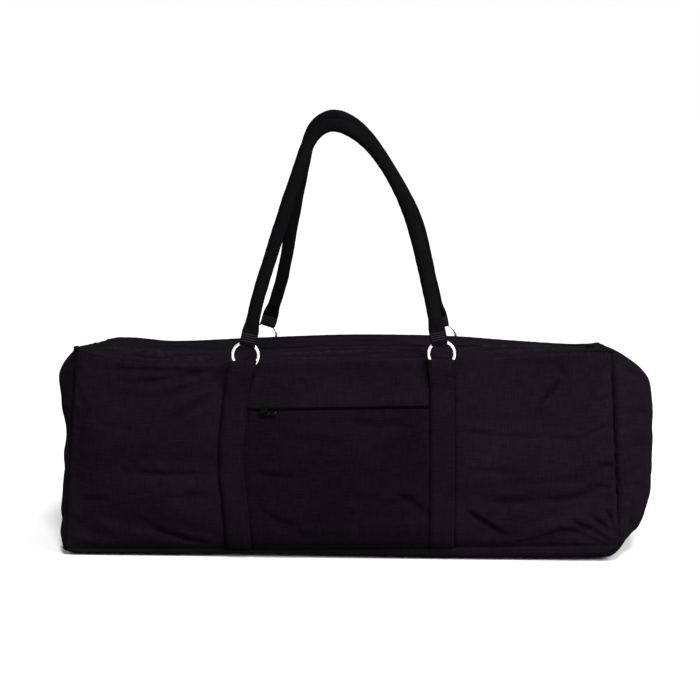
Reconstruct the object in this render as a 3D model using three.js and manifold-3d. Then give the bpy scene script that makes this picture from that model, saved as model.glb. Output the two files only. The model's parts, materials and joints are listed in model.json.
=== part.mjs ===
import * as THREE from "three";
import Module from "manifold-3d";
import { mergeVertices } from "three/addons/utils/BufferGeometryUtils.js";

const wasm = await Module();
wasm.setup();

// Driving dimensions, in millimetres
const LENGTH = 655; // end seam to end seam at the base
const DEPTH = 210; // front seams to back seams
const HEIGHT = 214; // bottom seam to top seam, about
const SEAM_RISE = { left: 9, right: 20 }; // floor to the bottom seams at each end
const TOP_TAPER = { left: 22, right: 14 }; // how far each end leans in at the top
const CLOTH = 2;
const SEAM_GAP = 0.3;
// How far each panel swells past its seams, and how square that swelling is: a higher power is fuller near
// the seams
const FULLNESS = { front: 22, back: 20, left: 37, right: 52, top: 4 };
const FACE_POWER = { along: 6, up: 2.4 };
const END_POWER = { along: 2.6, upper: 7, lower: 4.5 };
const TOP_POWER = { along: 6, across: 2 };
const BASE_ROUND = 26; // how far in from its seams the base comes flat

const STRAP_WIDTH = 30;
const STRAP_SPREAD = 120; // centre of the bag to the centre of a strap
const STRAP_THICK = 2;
const LAYER_GAP = 0.5; // between a sewn-on layer and the panel under it
const POCKET_THICK = 1.6;
const POCKET_SIDE_GAP = 0.4; // to the straps beside it
const POCKET_SAG = 3; // how far the pocket stands off the front panel
const ZIP_HALF = 9; // half the width of the top zip

const RING_RADIUS = 15; // to the middle of the wire
const RING_WIRE = 2; // wire radius
const RING_CLEARANCE = 0.5;
const RING_OUT = 9; // seam plane to ring plane
const RING_ACROSS = { left: -112, right: 116 };
const RING_HEIGHT = { front: 248, back: 237 };

const HANDLE_SIDES = 12;
const HANDLE_STEPS = 36;
const HANDLE_SECTION = { width: 8.2, thick: 7, roundness: 1 }; // half sizes along the grip
const TAB_SECTION = { width: 9.8, thick: 4.4, roundness: 0.5 }; // half sizes where it folds round a ring
const TAB_LENGTH = 22;
const TAB_BLEND = 40;
const TAB_STRAIGHT = 31; // the tab runs straight from the ring this far
const TAB_OVERLAP = 5; // handle end to the middle of the ring's wire
const HANDLE_LEAN = 50; // each handle tips in this far at its top

// Heights of the top seams: along is a share of the half length, left to right
const TOP_LINE = [
  { along: -1, front: 248, back: 240 },
  { along: -0.9, front: 237, back: 238 },
  { along: -0.7, front: 229, back: 231 },
  { along: -0.37, front: 227, back: 235 },
  { along: 0, front: 230, back: 239 },
  { along: 0.37, front: 234, back: 236 },
  { along: 0.62, front: 240, back: 232 },
  { along: 0.86, front: 246, back: 233 },
  { along: 1, front: 249, back: 238 },
];

// Creases: from and to as shares of a panel's half length (along) and of its height or half depth (up)
const CREASES = {
  front: [
    { fromAlong: -0.47, fromUp: 0.95, toAlong: -0.78, toUp: 0.8, width: 15, rise: -4.5 },
    { fromAlong: -0.78, fromUp: 0.46, toAlong: -0.45, toUp: 0.47, width: 14, rise: -3 },
    { fromAlong: -0.68, fromUp: 0.16, toAlong: -0.5, toUp: 0.06, width: 14, rise: -3 },
    { fromAlong: 0.78, fromUp: 0.92, toAlong: 0.65, toUp: 0.78, width: 15, rise: -4 },
    { fromAlong: 0.46, fromUp: 0.69, toAlong: 0.95, toUp: 0.61, width: 16, rise: -5 },
    { fromAlong: 0.46, fromUp: 0.27, toAlong: 0.9, toUp: 0.29, width: 24, rise: 4 },
    { fromAlong: 0.46, fromUp: 0.17, toAlong: 0.6, toUp: 0.06, width: 14, rise: -3 },
    { fromAlong: 0.9, fromUp: 0.06, toAlong: 0.97, toUp: 0.2, width: 12, rise: -4 },
  ],
  back: [
    { fromAlong: -0.85, fromUp: 0.62, toAlong: -0.45, toUp: 0.55, width: 18, rise: -4 },
    { fromAlong: 0.45, fromUp: 0.4, toAlong: 0.85, toUp: 0.48, width: 18, rise: -4 },
  ],
  left: [
    { fromAlong: -0.9, fromUp: 0.55, toAlong: 0.9, toUp: 0.55, width: 30, rise: -11 },
    { fromAlong: -0.9, fromUp: 0.25, toAlong: 0.9, toUp: 0.25, width: 44, rise: -7 },
  ],
  right: [{ fromAlong: -0.9, fromUp: 0.5, toAlong: 0.9, toUp: 0.47, width: 22, rise: -5 }],
  top: [
    { fromAlong: -0.95, fromUp: -0.6, toAlong: -0.5, toUp: -0.7, width: 13, rise: -4 },
    { fromAlong: -0.94, fromUp: 0.55, toAlong: -0.84, toUp: 0.6, width: 26, rise: 6 },
    { fromAlong: 0.5, fromUp: -0.45, toAlong: 0.92, toUp: -0.3, width: 13, rise: -4 },
  ],
};

// Each handle's middle line above its tabs: across from the middle of the bag and up from the floor
const HANDLE_LINE = {
  front: [
    { across: -99, up: 309 },
    { across: -85, up: 355 },
    { across: -71, up: 401 },
    { across: -47, up: 470 },
    { across: -34, up: 497 },
    { across: -14, up: 509 },
    { across: 8, up: 502 },
    { across: 30, up: 487 },
    { across: 53, up: 458 },
    { across: 72, up: 422 },
    { across: 86, up: 381 },
    { across: 103, up: 311 },
  ],
  back: [
    { across: -88, up: 310 },
    { across: -73, up: 386 },
    { across: -57, up: 462 },
    { across: -43, up: 499 },
    { across: -22, up: 514 },
    { across: 2, up: 506 },
    { across: 23, up: 486 },
    { across: 51, up: 445 },
    { across: 81, up: 387 },
    { across: 99, up: 310 },
  ],
};

// Grid lines as shares of the half length and of the height; the strap edges fall on lines of their own
const strapIn = (STRAP_SPREAD - STRAP_WIDTH / 2) / (LENGTH / 2);
const strapOut = (STRAP_SPREAD + STRAP_WIDTH / 2) / (LENGTH / 2);
const sideLines = [0.93, 0.84, 0.73, 0.62, 0.52, strapOut];
const pocketLines = [-0.24, -0.16, -0.08, 0, 0.08, 0.16, 0.24];
const lengthLines = [
  ...sideLines.map((line) => -line),
  -strapIn,
  ...pocketLines,
  strapIn,
  ...sideLines.toReversed(),
];
const POCKET_TOP = 0.765;
const FACING_FOOT = 0.805;
const LAYER_FOOT = 0.012; // sewn-on layers start this far above the bottom seam
const ROW_GAP = 0.004; // between one sewn-on layer's edge and the next
const frontRows = [0.06, 0.14, 0.23, 0.33, 0.43, 0.53, 0.63, 0.715, POCKET_TOP, FACING_FOOT, 0.9];
const backRows = [0.08, 0.2, 0.35, 0.5, 0.65, 0.8, 0.92];
const panelRows = { front: frontRows, back: backRows };
const endRows = [0.05, 0.12, 0.22, 0.35, 0.5, 0.65, 0.77, 0.87, 0.95];
const topLines = [-0.72, -0.4];
const endLines = [-0.93, -0.8, -0.55, -0.25, 0, 0.25, 0.55, 0.8, 0.93];

const canvas = new THREE.MeshStandardMaterial({ color: 0x1b171c, roughness: 0.92, metalness: 0 });
const zipCloth = new THREE.MeshStandardMaterial({ color: 0x151316, roughness: 0.6, metalness: 0 });
const nickel = new THREE.MeshStandardMaterial({ color: 0xc9c9c6, roughness: 0.22, metalness: 1 });
const blackMetal = new THREE.MeshStandardMaterial({ color: 0x2a282b, roughness: 0.4, metalness: 0.9 });

const outward = {
  front: new THREE.Vector3(0, -1, 0),
  back: new THREE.Vector3(0, 1, 0),
  left: new THREE.Vector3(-1, 0, 0),
  right: new THREE.Vector3(1, 0, 0),
  top: new THREE.Vector3(0, 0, 1),
  base: new THREE.Vector3(0, 0, -1),
};

const bag = new THREE.Group();

function addPiece(name, geometry, material) {
  const mesh = new THREE.Mesh(geometry, material);
  mesh.name = name;
  bag.add(mesh);
}

// The seams: a box whose top edges dip and whose ends lean in, at shares a of its half length, b of its half
// depth and c of its height
const topLine = new THREE.CubicInterpolant(
  TOP_LINE.map((row) => row.along),
  TOP_LINE.flatMap((row) => [row.front, row.back]),
  2,
);
const seamRise = (a) => THREE.MathUtils.lerp(SEAM_RISE.left, SEAM_RISE.right, (a + 1) / 2);
const leanIn = (a, c) => (a < 0 ? TOP_TAPER.left : TOP_TAPER.right) * c * a ** 3;

function seamBox(a, b, c) {
  const [front, back] = topLine.evaluate(a);
  const top = THREE.MathUtils.lerp(front, back, (b + 1) / 2);
  const x = (a * LENGTH) / 2 - leanIn(a, c);
  return new THREE.Vector3(x, (b * DEPTH) / 2, THREE.MathUtils.lerp(seamRise(a), top, c));
}

// The sum of a panel's creases at a place, each a soft trough or ridge along a line
function creaseRise(rows, along, up, alongSize, upSize) {
  const at = new THREE.Vector3(along * alongSize, up * upSize, 0);
  let total = 0;
  for (const row of rows) {
    const line = new THREE.Line3(
      new THREE.Vector3(row.fromAlong * alongSize, row.fromUp * upSize, 0),
      new THREE.Vector3(row.toAlong * alongSize, row.toUp * upSize, 0),
    );
    const off = line.closestPointToPoint(at, true, new THREE.Vector3()).distanceTo(at);
    total += row.rise * Math.exp(-((off / row.width) ** 2));
  }
  return total;
}

const EDGE_FADE = 22; // creases die out this close to a seam
const fade = (distance) => THREE.MathUtils.smoothstep(distance, 0, EDGE_FADE);
const dome = (share, power) => 1 - Math.abs(share) ** power;

// Outer surface of each panel, by shares of its two directions
const surface = {
  front: (a, c) => facePoint("front", -1, a, c),
  back: (a, c) => facePoint("back", 1, a, c),
  left: (b, c) => endPoint("left", -1, b, c),
  right: (b, c) => endPoint("right", 1, b, c),
  top: (a, b) => {
    const still = fade((1 - Math.abs(a)) * (LENGTH / 2)) * fade((1 - Math.abs(b)) * (DEPTH / 2));
    const swell = FULLNESS.top * dome(a, TOP_POWER.along) * dome(b, TOP_POWER.across);
    const crease = still * creaseRise(CREASES.top, a, b, LENGTH / 2, DEPTH / 2);
    return seamBox(a, b, 1).addScaledVector(outward.top, swell + crease);
  },
  base: (a, b) => {
    const settle = (distance) => 1 - (1 - Math.min(1, distance / BASE_ROUND)) ** 2;
    const drop = settle((1 - Math.abs(a)) * (LENGTH / 2)) * settle((1 - Math.abs(b)) * (DEPTH / 2));
    return seamBox(a, b, 0).addScaledVector(outward.base, seamRise(a) * drop);
  },
};

function facePoint(side, b, a, c) {
  const still = fade((1 - Math.abs(a)) * (LENGTH / 2)) * fade((0.5 - Math.abs(c - 0.5)) * HEIGHT);
  const swell = FULLNESS[side] * dome(a, FACE_POWER.along) * dome(2 * c - 1, FACE_POWER.up);
  const crease = still * creaseRise(CREASES[side], a, c, LENGTH / 2, HEIGHT);
  return seamBox(a, b, c).addScaledVector(outward[side], swell + crease);
}

function endPoint(side, a, b, c) {
  const still = fade((1 - Math.abs(b)) * (DEPTH / 2)) * fade((0.5 - Math.abs(c - 0.5)) * HEIGHT);
  const upPower = c > 0.5 ? END_POWER.upper : END_POWER.lower;
  const swell = FULLNESS[side] * dome(b, END_POWER.along) * dome(2 * c - 1, upPower);
  const crease = still * creaseRise(CREASES[side], b, c, DEPTH / 2, HEIGHT);
  return seamBox(a, b, c).addScaledVector(outward[side], swell + crease);
}

// Unit normal of a panel's outer surface, pointing out of the bag
function surfaceNormal(side, u, v) {
  const step = 0.004;
  const uAt = THREE.MathUtils.clamp(u, step - 1, 1 - step);
  const vLow = side === "top" || side === "base" ? -1 : 0;
  const vAt = THREE.MathUtils.clamp(v, vLow + step, 1 - step);
  const place = surface[side];
  const acrossRun = place(uAt + step, vAt).sub(place(uAt - step, vAt));
  const upRun = place(uAt, vAt + step).sub(place(uAt, vAt - step));
  const normal = acrossRun.cross(upRun).normalize();
  return normal.dot(outward[side]) < 0 ? normal.negate() : normal;
}

// A closed wall between two skins that share one grid: skin(u, v, inside) gives each corner
function wall(uLines, vLines, skin, mirrored) {
  const across = uLines.length - 1;
  const up = vLines.length - 1;
  const grid = new THREE.PlaneGeometry(1, 1, across, up);
  const count = grid.attributes.position.count;
  const corners = [];
  for (const inside of [false, true]) {
    for (const v of vLines.toReversed()) {
      for (const u of uLines) corners.push(...skin(u, v, inside).toArray());
    }
  }
  const faces = [];
  const addFace = (i, j, k) => faces.push(...(mirrored ? [i, k, j] : [i, j, k]));
  const order = grid.index.array;
  for (let i = 0; i < order.length; i += 3) {
    addFace(order[i], order[i + 1], order[i + 2]);
    addFace(order[i] + count, order[i + 2] + count, order[i + 1] + count);
  }
  const rim = [];
  for (let i = 0; i < up; i++) rim.push(i * (across + 1));
  for (let i = 0; i < across; i++) rim.push(up * (across + 1) + i);
  for (let i = up; i > 0; i--) rim.push(i * (across + 1) + across);
  for (let i = across; i > 0; i--) rim.push(i);
  rim.forEach((at, i) => {
    const next = rim[(i + 1) % rim.length];
    addFace(at, at + count, next);
    addFace(next, at + count, next + count);
  });
  const geometry = new THREE.BufferGeometry();
  geometry.setAttribute("position", new THREE.Float32BufferAttribute(corners, 3));
  geometry.setIndex(faces);
  return geometry;
}

// A canvas panel between its seams. Where it meets a neighbour its edge is mitred towards that neighbour.
function panel(side, uLines, vLines, neighbours, mirrored) {
  const uEnds = [uLines[0], uLines.at(-1)];
  const vEnds = [vLines[0], vLines.at(-1)];
  const skin = (u, v, inside) => {
    const point = surface[side](u, v);
    if (!inside) return point;
    const met = [
      u === uEnds[0] && neighbours.uLow,
      u === uEnds[1] && neighbours.uHigh,
      v === vEnds[0] && neighbours.vLow,
      v === vEnds[1] && neighbours.vHigh,
    ].filter(Boolean);
    const inward = met.length ? outward[side].clone() : surfaceNormal(side, u, v);
    for (const name of met) inward.add(outward[name]);
    return point.addScaledVector(inward, -CLOTH);
  };
  return wall(uLines, vLines, skin, mirrored);
}

const lengthGap = SEAM_GAP / (LENGTH / 2);
const depthGap = SEAM_GAP / (DEPTH / 2);
const heightGap = SEAM_GAP / HEIGHT;
const fullLength = [lengthGap - 1, ...lengthLines, 1 - lengthGap];
const upFrom = (rows) => [heightGap, ...rows, 1 - heightGap];

const faceEdges = { uLow: "left", uHigh: "right", vLow: "base", vHigh: "top" };
const endEdges = { uLow: "front", uHigh: "back", vLow: "base", vHigh: "top" };
addPiece("front_panel", panel("front", fullLength, upFrom(frontRows), faceEdges, false), canvas);
addPiece("back_panel", panel("back", fullLength, upFrom(backRows), faceEdges, true), canvas);
const endColumns = [depthGap - 1, ...endLines, 1 - depthGap];
addPiece("left_end_panel", panel("left", endColumns, upFrom(endRows), endEdges, true), canvas);
addPiece("right_end_panel", panel("right", endColumns, upFrom(endRows), endEdges, false), canvas);

// The base curves down from its seams over three narrow strips and is flat between them
const baseStrips = [SEAM_GAP, 5, 13, BASE_ROUND];
const baseLines = (half) => {
  const low = baseStrips.map((distance) => distance / half - 1);
  return [...low, 0, ...low.map((line) => -line).toReversed()];
};
const baseEdges = { uLow: "left", uHigh: "right", vLow: "front", vHigh: "back" };
addPiece("base_panel", panel("base", baseLines(LENGTH / 2), baseLines(DEPTH / 2), baseEdges, true), canvas);

// The top: two strips and the zip between them
const zipShare = ZIP_HALF / (DEPTH / 2);
const topFrontLines = [depthGap - 1, ...topLines, -zipShare - depthGap];
const topBackLines = topFrontLines.map((line) => -line).toReversed();
const topFrontEdges = { uLow: "left", uHigh: "right", vLow: "front" };
const topBackEdges = { uLow: "left", uHigh: "right", vHigh: "back" };
addPiece("top_front_panel", panel("top", fullLength, topFrontLines, topFrontEdges, false), canvas);
addPiece("top_back_panel", panel("top", fullLength, topBackLines, topBackEdges, false), canvas);

const TOP_COIL = { half: 3, foot: 4.2, rise: 0.7, tapeDrop: 0.7, thick: 1.3 }; // half widths, then heights
function topZip() {
  const coilShare = TOP_COIL.half / (DEPTH / 2);
  const footShare = TOP_COIL.foot / (DEPTH / 2);
  const columns = [-zipShare, -footShare, -coilShare, coilShare, footShare, zipShare];
  const ends = [fullLength[0], fullLength.at(-1)];
  const skin = (u, v, inside) => {
    const onCoil = Math.abs(v) <= coilShare;
    const low = -TOP_COIL.tapeDrop - TOP_COIL.thick;
    const high = onCoil ? TOP_COIL.rise : -TOP_COIL.tapeDrop;
    const point = surface.top(u, v);
    if (ends.includes(u)) point.x += (inside ? CLOTH : 0) * -Math.sign(u);
    return point.addScaledVector(outward.top, inside ? low : high);
  };
  return wall(fullLength, columns, skin, false);
}
addPiece("top_zip", topZip(), zipCloth);

// A closed surface turned into a solid for joins and cuts, and back
function toSolid(geometry) {
  const bare = geometry.clone();
  bare.deleteAttribute("normal");
  bare.deleteAttribute("uv");
  const merged = mergeVertices(bare, 1e-4);
  return new wasm.Manifold(
    new wasm.Mesh({
      numProp: 3,
      vertProperties: new Float32Array(merged.attributes.position.array),
      triVerts: new Uint32Array(merged.index.array),
    }),
  );
}

function toGeometry(solid) {
  const mesh = solid.getMesh();
  const geometry = new THREE.BufferGeometry();
  geometry.setAttribute("position", new THREE.Float32BufferAttribute(mesh.vertProperties, 3));
  geometry.setIndex([...mesh.triVerts]);
  return geometry;
}

// Rings stand upright over the top seams, facing front and back
const sides = [
  { name: "front", b: -1 },
  { name: "back", b: 1 },
];
const hands = [
  { name: "left", a: -1 },
  { name: "right", a: 1 },
];

function ringCentre(side, hand) {
  const y = side.b * (DEPTH / 2 + RING_OUT);
  return new THREE.Vector3(RING_ACROSS[hand.name], y, RING_HEIGHT[side.name]);
}

function ringShape(wire, centre) {
  const torus = new THREE.TorusGeometry(RING_RADIUS, wire, 8, 24);
  torus.rotateX(Math.PI / 2);
  return torus.translate(centre.x, centre.y, centre.z);
}

const ringHole = (centre) => toSolid(ringShape(RING_WIRE + RING_CLEARANCE, centre));

// A strap lies on its panel up to the ring, then thickens into the fold that holds the ring's lower half:
// rise is measured from the ring's middle, near and far from the ring's plane towards and away from the bag
const STRAP_FOLD = [
  { rise: -24, near: 1.2, far: 3.4, inset: 0.9 },
  { rise: -18.5, near: 4.1, far: 4.4, inset: 0.9 },
  { rise: -12, near: 4.5, far: 4.5, inset: 1 },
  { rise: -7.5, near: 4.4, far: 4.5, inset: 1.2 },
  { rise: -5.5, near: 2.6, far: 3, inset: 2 },
];

function strap(side, hand) {
  const centre = ringCentre(side, hand);
  const gap = LAYER_GAP / (LENGTH / 2);
  const low = hand.a > 0 ? strapIn + gap : -strapOut + gap;
  const high = hand.a > 0 ? strapOut - gap : -strapIn - gap;
  const middle = (low + high) / 2;
  const rows = [LAYER_FOOT, ...panelRows[side.name]].map((c) => ({ c }));
  const skin = (u, row, inside) => {
    if (row.c !== undefined) {
      const lift = inside ? LAYER_GAP : LAYER_GAP + STRAP_THICK;
      return surface[side.name](u, row.c).addScaledVector(surfaceNormal(side.name, u, row.c), lift);
    }
    const across = Math.sign(u - middle) * (STRAP_WIDTH / 2 - row.inset);
    const height = centre.z + row.rise;
    const seam = surface[side.name](u, 1);
    const foot = seamRise(u);
    const c = Math.min(1, (height - foot) / (seam.z - foot));
    const onPanel = Math.abs(surface[side.name](u, c).y) + LAYER_GAP;
    const near = Math.max(Math.abs(centre.y) - row.near, onPanel);
    const far = Math.max(Math.abs(centre.y) + row.far, near + STRAP_THICK);
    const x = surface[side.name](middle, 1).x + across;
    return new THREE.Vector3(x, side.b * (inside ? near : far), height);
  };
  const ribbon = wall([low, middle, high], [...rows, ...STRAP_FOLD], skin, side.b > 0);
  return toGeometry(toSolid(ribbon).subtract(ringHole(centre)));
}

// A handle is a padded tube along its line, drawn out flat at both ends where it folds round the rings
function handleCurve(side) {
  const rows = HANDLE_LINE[side.name];
  const highest = Math.max(...rows.map((row) => row.up));
  const ringY = side.b * (DEPTH / 2 + RING_OUT);
  const line = rows.map((row) => {
    const share = (row.up - RING_HEIGHT[side.name]) / (highest - RING_HEIGHT[side.name]);
    return new THREE.Vector3(row.across, ringY - side.b * HANDLE_LEAN * share, row.up);
  });
  const ends = hands.map((hand) => {
    const centre = ringCentre(side, hand);
    const toward = (hand.a < 0 ? line[0] : line.at(-1)).clone().sub(centre).normalize();
    const at = (distance) => centre.clone().addScaledVector(toward, RING_RADIUS + distance);
    return [at(-TAB_OVERLAP), at(TAB_LENGTH / 2), at(TAB_STRAIGHT)];
  });
  return new THREE.CatmullRomCurve3([...ends[0], ...line, ...ends[1].toReversed()]);
}

function handle(side) {
  const curve = handleCurve(side);
  const length = curve.getLength();
  const tube = new THREE.CylinderGeometry(1, 1, length, HANDLE_SIDES, HANDLE_STEPS);
  tube.deleteAttribute("normal");
  tube.deleteAttribute("uv");
  const position = tube.attributes.position;
  const depthAxis = new THREE.Vector3(0, 1, 0);
  for (let i = 0; i < position.count; i++) {
    const share = THREE.MathUtils.clamp(position.getY(i) / length + 0.5, 0, 1);
    const fromEnd = Math.min(share, 1 - share) * length;
    const blend = THREE.MathUtils.smoothstep(fromEnd, TAB_LENGTH, TAB_LENGTH + TAB_BLEND);
    const half = (key) => THREE.MathUtils.lerp(TAB_SECTION[key], HANDLE_SECTION[key], blend);
    const bow = (value) => Math.sign(value) * Math.abs(value) ** half("roundness");
    const tangent = curve.getTangentAt(share);
    const across = depthAxis.clone().cross(tangent).normalize();
    const through = across.clone().cross(tangent);
    const point = curve.getPointAt(share);
    point.addScaledVector(across, bow(position.getX(i)) * half("width"));
    point.addScaledVector(through, bow(position.getZ(i)) * half("thick"));
    position.setXYZ(i, ...point.toArray());
  }
  let solid = toSolid(tube);
  for (const hand of hands) solid = solid.subtract(ringHole(ringCentre(side, hand)));
  return toGeometry(solid);
}

for (const side of sides) {
  for (const hand of hands) {
    addPiece(`ring_${side.name}_${hand.name}`, ringShape(RING_WIRE, ringCentre(side, hand)), nickel);
    addPiece(`strap_${side.name}_${hand.name}`, strap(side, hand), canvas);
  }
  addPiece(`handle_${side.name}`, handle(side), canvas);
}

// Layers sewn on the front between the straps: lifts are measured out from the front panel
const pocketGap = POCKET_SIDE_GAP / (LENGTH / 2);
const pocketColumns = [-strapIn + pocketGap, ...pocketLines, strapIn - pocketGap];

function frontLayer(rows, liftInside, liftOutside) {
  const skin = (u, v, inside) => {
    const lift = inside ? liftInside(u, v) : liftOutside(u, v);
    return surface.front(u, v).addScaledVector(surfaceNormal("front", u, v), lift);
  };
  return wall(pocketColumns, rows, skin, false);
}

const pocketSag = (u, v) => POCKET_SAG * dome(u / strapIn, 4) * dome((2 * v) / POCKET_TOP - 1, 4);
const pocketRows = [LAYER_FOOT, ...frontRows.filter((row) => row < POCKET_TOP), POCKET_TOP - ROW_GAP];
const pocketIn = (u, v) => LAYER_GAP + pocketSag(u, v);
addPiece("pocket_panel", frontLayer(pocketRows, pocketIn, (u, v) => pocketIn(u, v) + POCKET_THICK), canvas);

// The zip's tape and coil, and the facing whose lower lip stands over them
const ZIP_TAPE = 0.9;
const ZIP_COIL = 1.5;
const COIL_ROWS = [0.774, 0.782];
const TAPE_ROW = 0.796;
const zipRows = [POCKET_TOP, ...COIL_ROWS, TAPE_ROW, FACING_FOOT - ROW_GAP];
const zipOut = (u, v) => LAYER_GAP + (COIL_ROWS.includes(v) ? ZIP_COIL : ZIP_TAPE);
addPiece("pocket_zip", frontLayer(zipRows, () => LAYER_GAP, zipOut), zipCloth);

const LIP_FOOT = 0.787;
const LIP_STAND = ZIP_TAPE + 0.4;
const FACING_MIDDLE = 0.9;
const facingRows = [LIP_FOOT, FACING_FOOT - ROW_GAP, FACING_FOOT, FACING_MIDDLE, 1 - 2 * heightGap];
const facingIn = (u, v) => LAYER_GAP + (v < FACING_FOOT ? LIP_STAND : 0);
addPiece("pocket_facing", frontLayer(facingRows, facingIn, (u, v) => facingIn(u, v) + POCKET_THICK), canvas);

// Small hardware is drawn flat with x along its zip, y across it and z out, then laid on the surface
function plate(xLow, xHigh, yHalf, zLow, zHigh, corner) {
  const outline = new THREE.Shape();
  outline.moveTo(xLow + corner, -yHalf);
  outline.lineTo(xHigh - corner, -yHalf);
  outline.absarc(xHigh - corner, corner - yHalf, corner, -Math.PI / 2, 0);
  outline.absarc(xHigh - corner, yHalf - corner, corner, 0, Math.PI / 2);
  outline.absarc(xLow + corner, yHalf - corner, corner, Math.PI / 2, Math.PI);
  outline.absarc(xLow + corner, corner - yHalf, corner, Math.PI, Math.PI * 1.5);
  const options = { depth: zHigh - zLow, bevelEnabled: false, curveSegments: 3 };
  const shape = new THREE.ExtrudeGeometry(outline, options);
  return toSolid(shape.translate(0, 0, zLow));
}

function laidOn(side, u, v, yShift) {
  const step = 0.002;
  const normal = surfaceNormal(side, u, v);
  const along = surface[side](u + step, v).sub(surface[side](u - step, v)).normalize();
  const across = normal.clone().cross(along);
  const origin = surface[side](u, v).addScaledVector(across, yShift);
  return new THREE.Matrix4().makeBasis(along, across, normal).setPosition(origin);
}

// The pocket slider has an arch on top, and the pull's end bar turns under that arch
const SLIDER_PLACE = { along: -0.276, up: 0.776, yShift: -2.4 };
const SLIDER = { stand: 2.8, thick: 1.8, halfLength: 4.6, halfWidth: 3.7, corner: 1.6 };
const AXIS_CLEAR = 1.1; // slider plate to the middle of the turning bar
const PULL_AXIS = SLIDER.stand + SLIDER.thick + AXIS_CLEAR; // height of the turning bar above the panel
const ARCH = { legIn: 2, legOut: 3, halfWidth: 0.7, headroom: 1.1, thick: 0.9, root: 0.3, corner: 0.3 };
const PULL = { bar: 0.6, thick: 0.45, halfWidth: 2.2, holeEnd: 4.4, holeHalf: 1.1, tip: 15, corner: 0.5 };
const CUT_PAST = 1; // cutters reach this far past the faces they cut

function pocketSlider() {
  const top = SLIDER.stand + SLIDER.thick;
  const archTop = PULL_AXIS + ARCH.headroom;
  const reach = SLIDER.halfLength;
  const body = plate(-reach, reach, SLIDER.halfWidth, SLIDER.stand, top, SLIDER.corner);
  const root = top - ARCH.root;
  const block = plate(-ARCH.legOut, ARCH.legOut, ARCH.halfWidth, root, archTop + ARCH.thick, ARCH.corner);
  const window = plate(-ARCH.legIn, ARCH.legIn, ARCH.halfWidth + CUT_PAST, top, archTop, ARCH.corner);
  return toGeometry(body.add(block.subtract(window)));
}

function pocketPull() {
  const low = PULL_AXIS - PULL.thick;
  const high = PULL_AXIS + PULL.thick;
  const tab = plate(-PULL.bar, PULL.tip, PULL.halfWidth, low, high, PULL.corner);
  const hole = plate(PULL.bar, PULL.holeEnd, PULL.holeHalf, low - CUT_PAST, high + CUT_PAST, PULL.corner);
  return toGeometry(tab.subtract(hole));
}

const onPocket = laidOn("front", SLIDER_PLACE.along, SLIDER_PLACE.up, SLIDER_PLACE.yShift);
addPiece("pocket_zip_slider", pocketSlider().applyMatrix4(onPocket), blackMetal);
addPiece("pocket_zip_pull", pocketPull().applyMatrix4(onPocket), blackMetal);

// The top zip is closed at the right end, where its slider lies flat
const TOP_SLIDER = { along: 0.93, stand: TOP_COIL.rise + 0.35, thick: 3 };
const TOP_BODY = { low: -5, high: 6, half: 4.2, corner: 1.8 };
const TOP_TAB = { low: -26, high: -3, half: 2.8, corner: 1.2, foot: 1, head: 2.6 };
const stand = TOP_SLIDER.stand;
const bodyHead = stand + TOP_SLIDER.thick;
const topBody = plate(TOP_BODY.low, TOP_BODY.high, TOP_BODY.half, stand, bodyHead, TOP_BODY.corner);
const tabFoot = stand + TOP_TAB.foot;
const topTab = plate(TOP_TAB.low, TOP_TAB.high, TOP_TAB.half, tabFoot, stand + TOP_TAB.head, TOP_TAB.corner);
const onTop = laidOn("top", TOP_SLIDER.along, 0, 0);
addPiece("top_zip_slider", toGeometry(topBody.add(topTab)).applyMatrix4(onTop), blackMetal);

// The origin is on the floor under the middle of the bag's outline
const middle = new THREE.Box3().setFromObject(bag).getCenter(new THREE.Vector3());
bag.position.set(-middle.x, -middle.y, 0);

export default bag;
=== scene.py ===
import json
import math

import bpy
import numpy as np
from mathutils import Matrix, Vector


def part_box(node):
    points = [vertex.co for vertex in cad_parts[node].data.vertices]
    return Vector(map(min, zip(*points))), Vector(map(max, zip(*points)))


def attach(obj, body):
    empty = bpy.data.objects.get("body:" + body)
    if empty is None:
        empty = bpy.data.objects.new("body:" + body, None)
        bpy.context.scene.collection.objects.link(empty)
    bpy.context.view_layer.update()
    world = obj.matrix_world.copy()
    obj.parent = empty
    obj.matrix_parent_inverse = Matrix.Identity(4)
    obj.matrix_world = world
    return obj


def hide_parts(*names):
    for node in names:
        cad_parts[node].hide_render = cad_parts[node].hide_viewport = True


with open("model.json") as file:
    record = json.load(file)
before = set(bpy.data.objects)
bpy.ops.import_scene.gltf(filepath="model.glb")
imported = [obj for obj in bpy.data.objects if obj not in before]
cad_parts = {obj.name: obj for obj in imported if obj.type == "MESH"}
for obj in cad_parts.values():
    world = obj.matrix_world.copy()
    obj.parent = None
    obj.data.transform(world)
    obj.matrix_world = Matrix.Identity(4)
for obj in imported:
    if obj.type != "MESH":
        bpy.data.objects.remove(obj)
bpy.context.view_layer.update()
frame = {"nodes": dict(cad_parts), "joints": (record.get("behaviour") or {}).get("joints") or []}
scene = bpy.context.scene
mm = 0.001
rng = np.random.default_rng(7)
print("frame loaded:", len(frame["nodes"]), "nodes")


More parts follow.
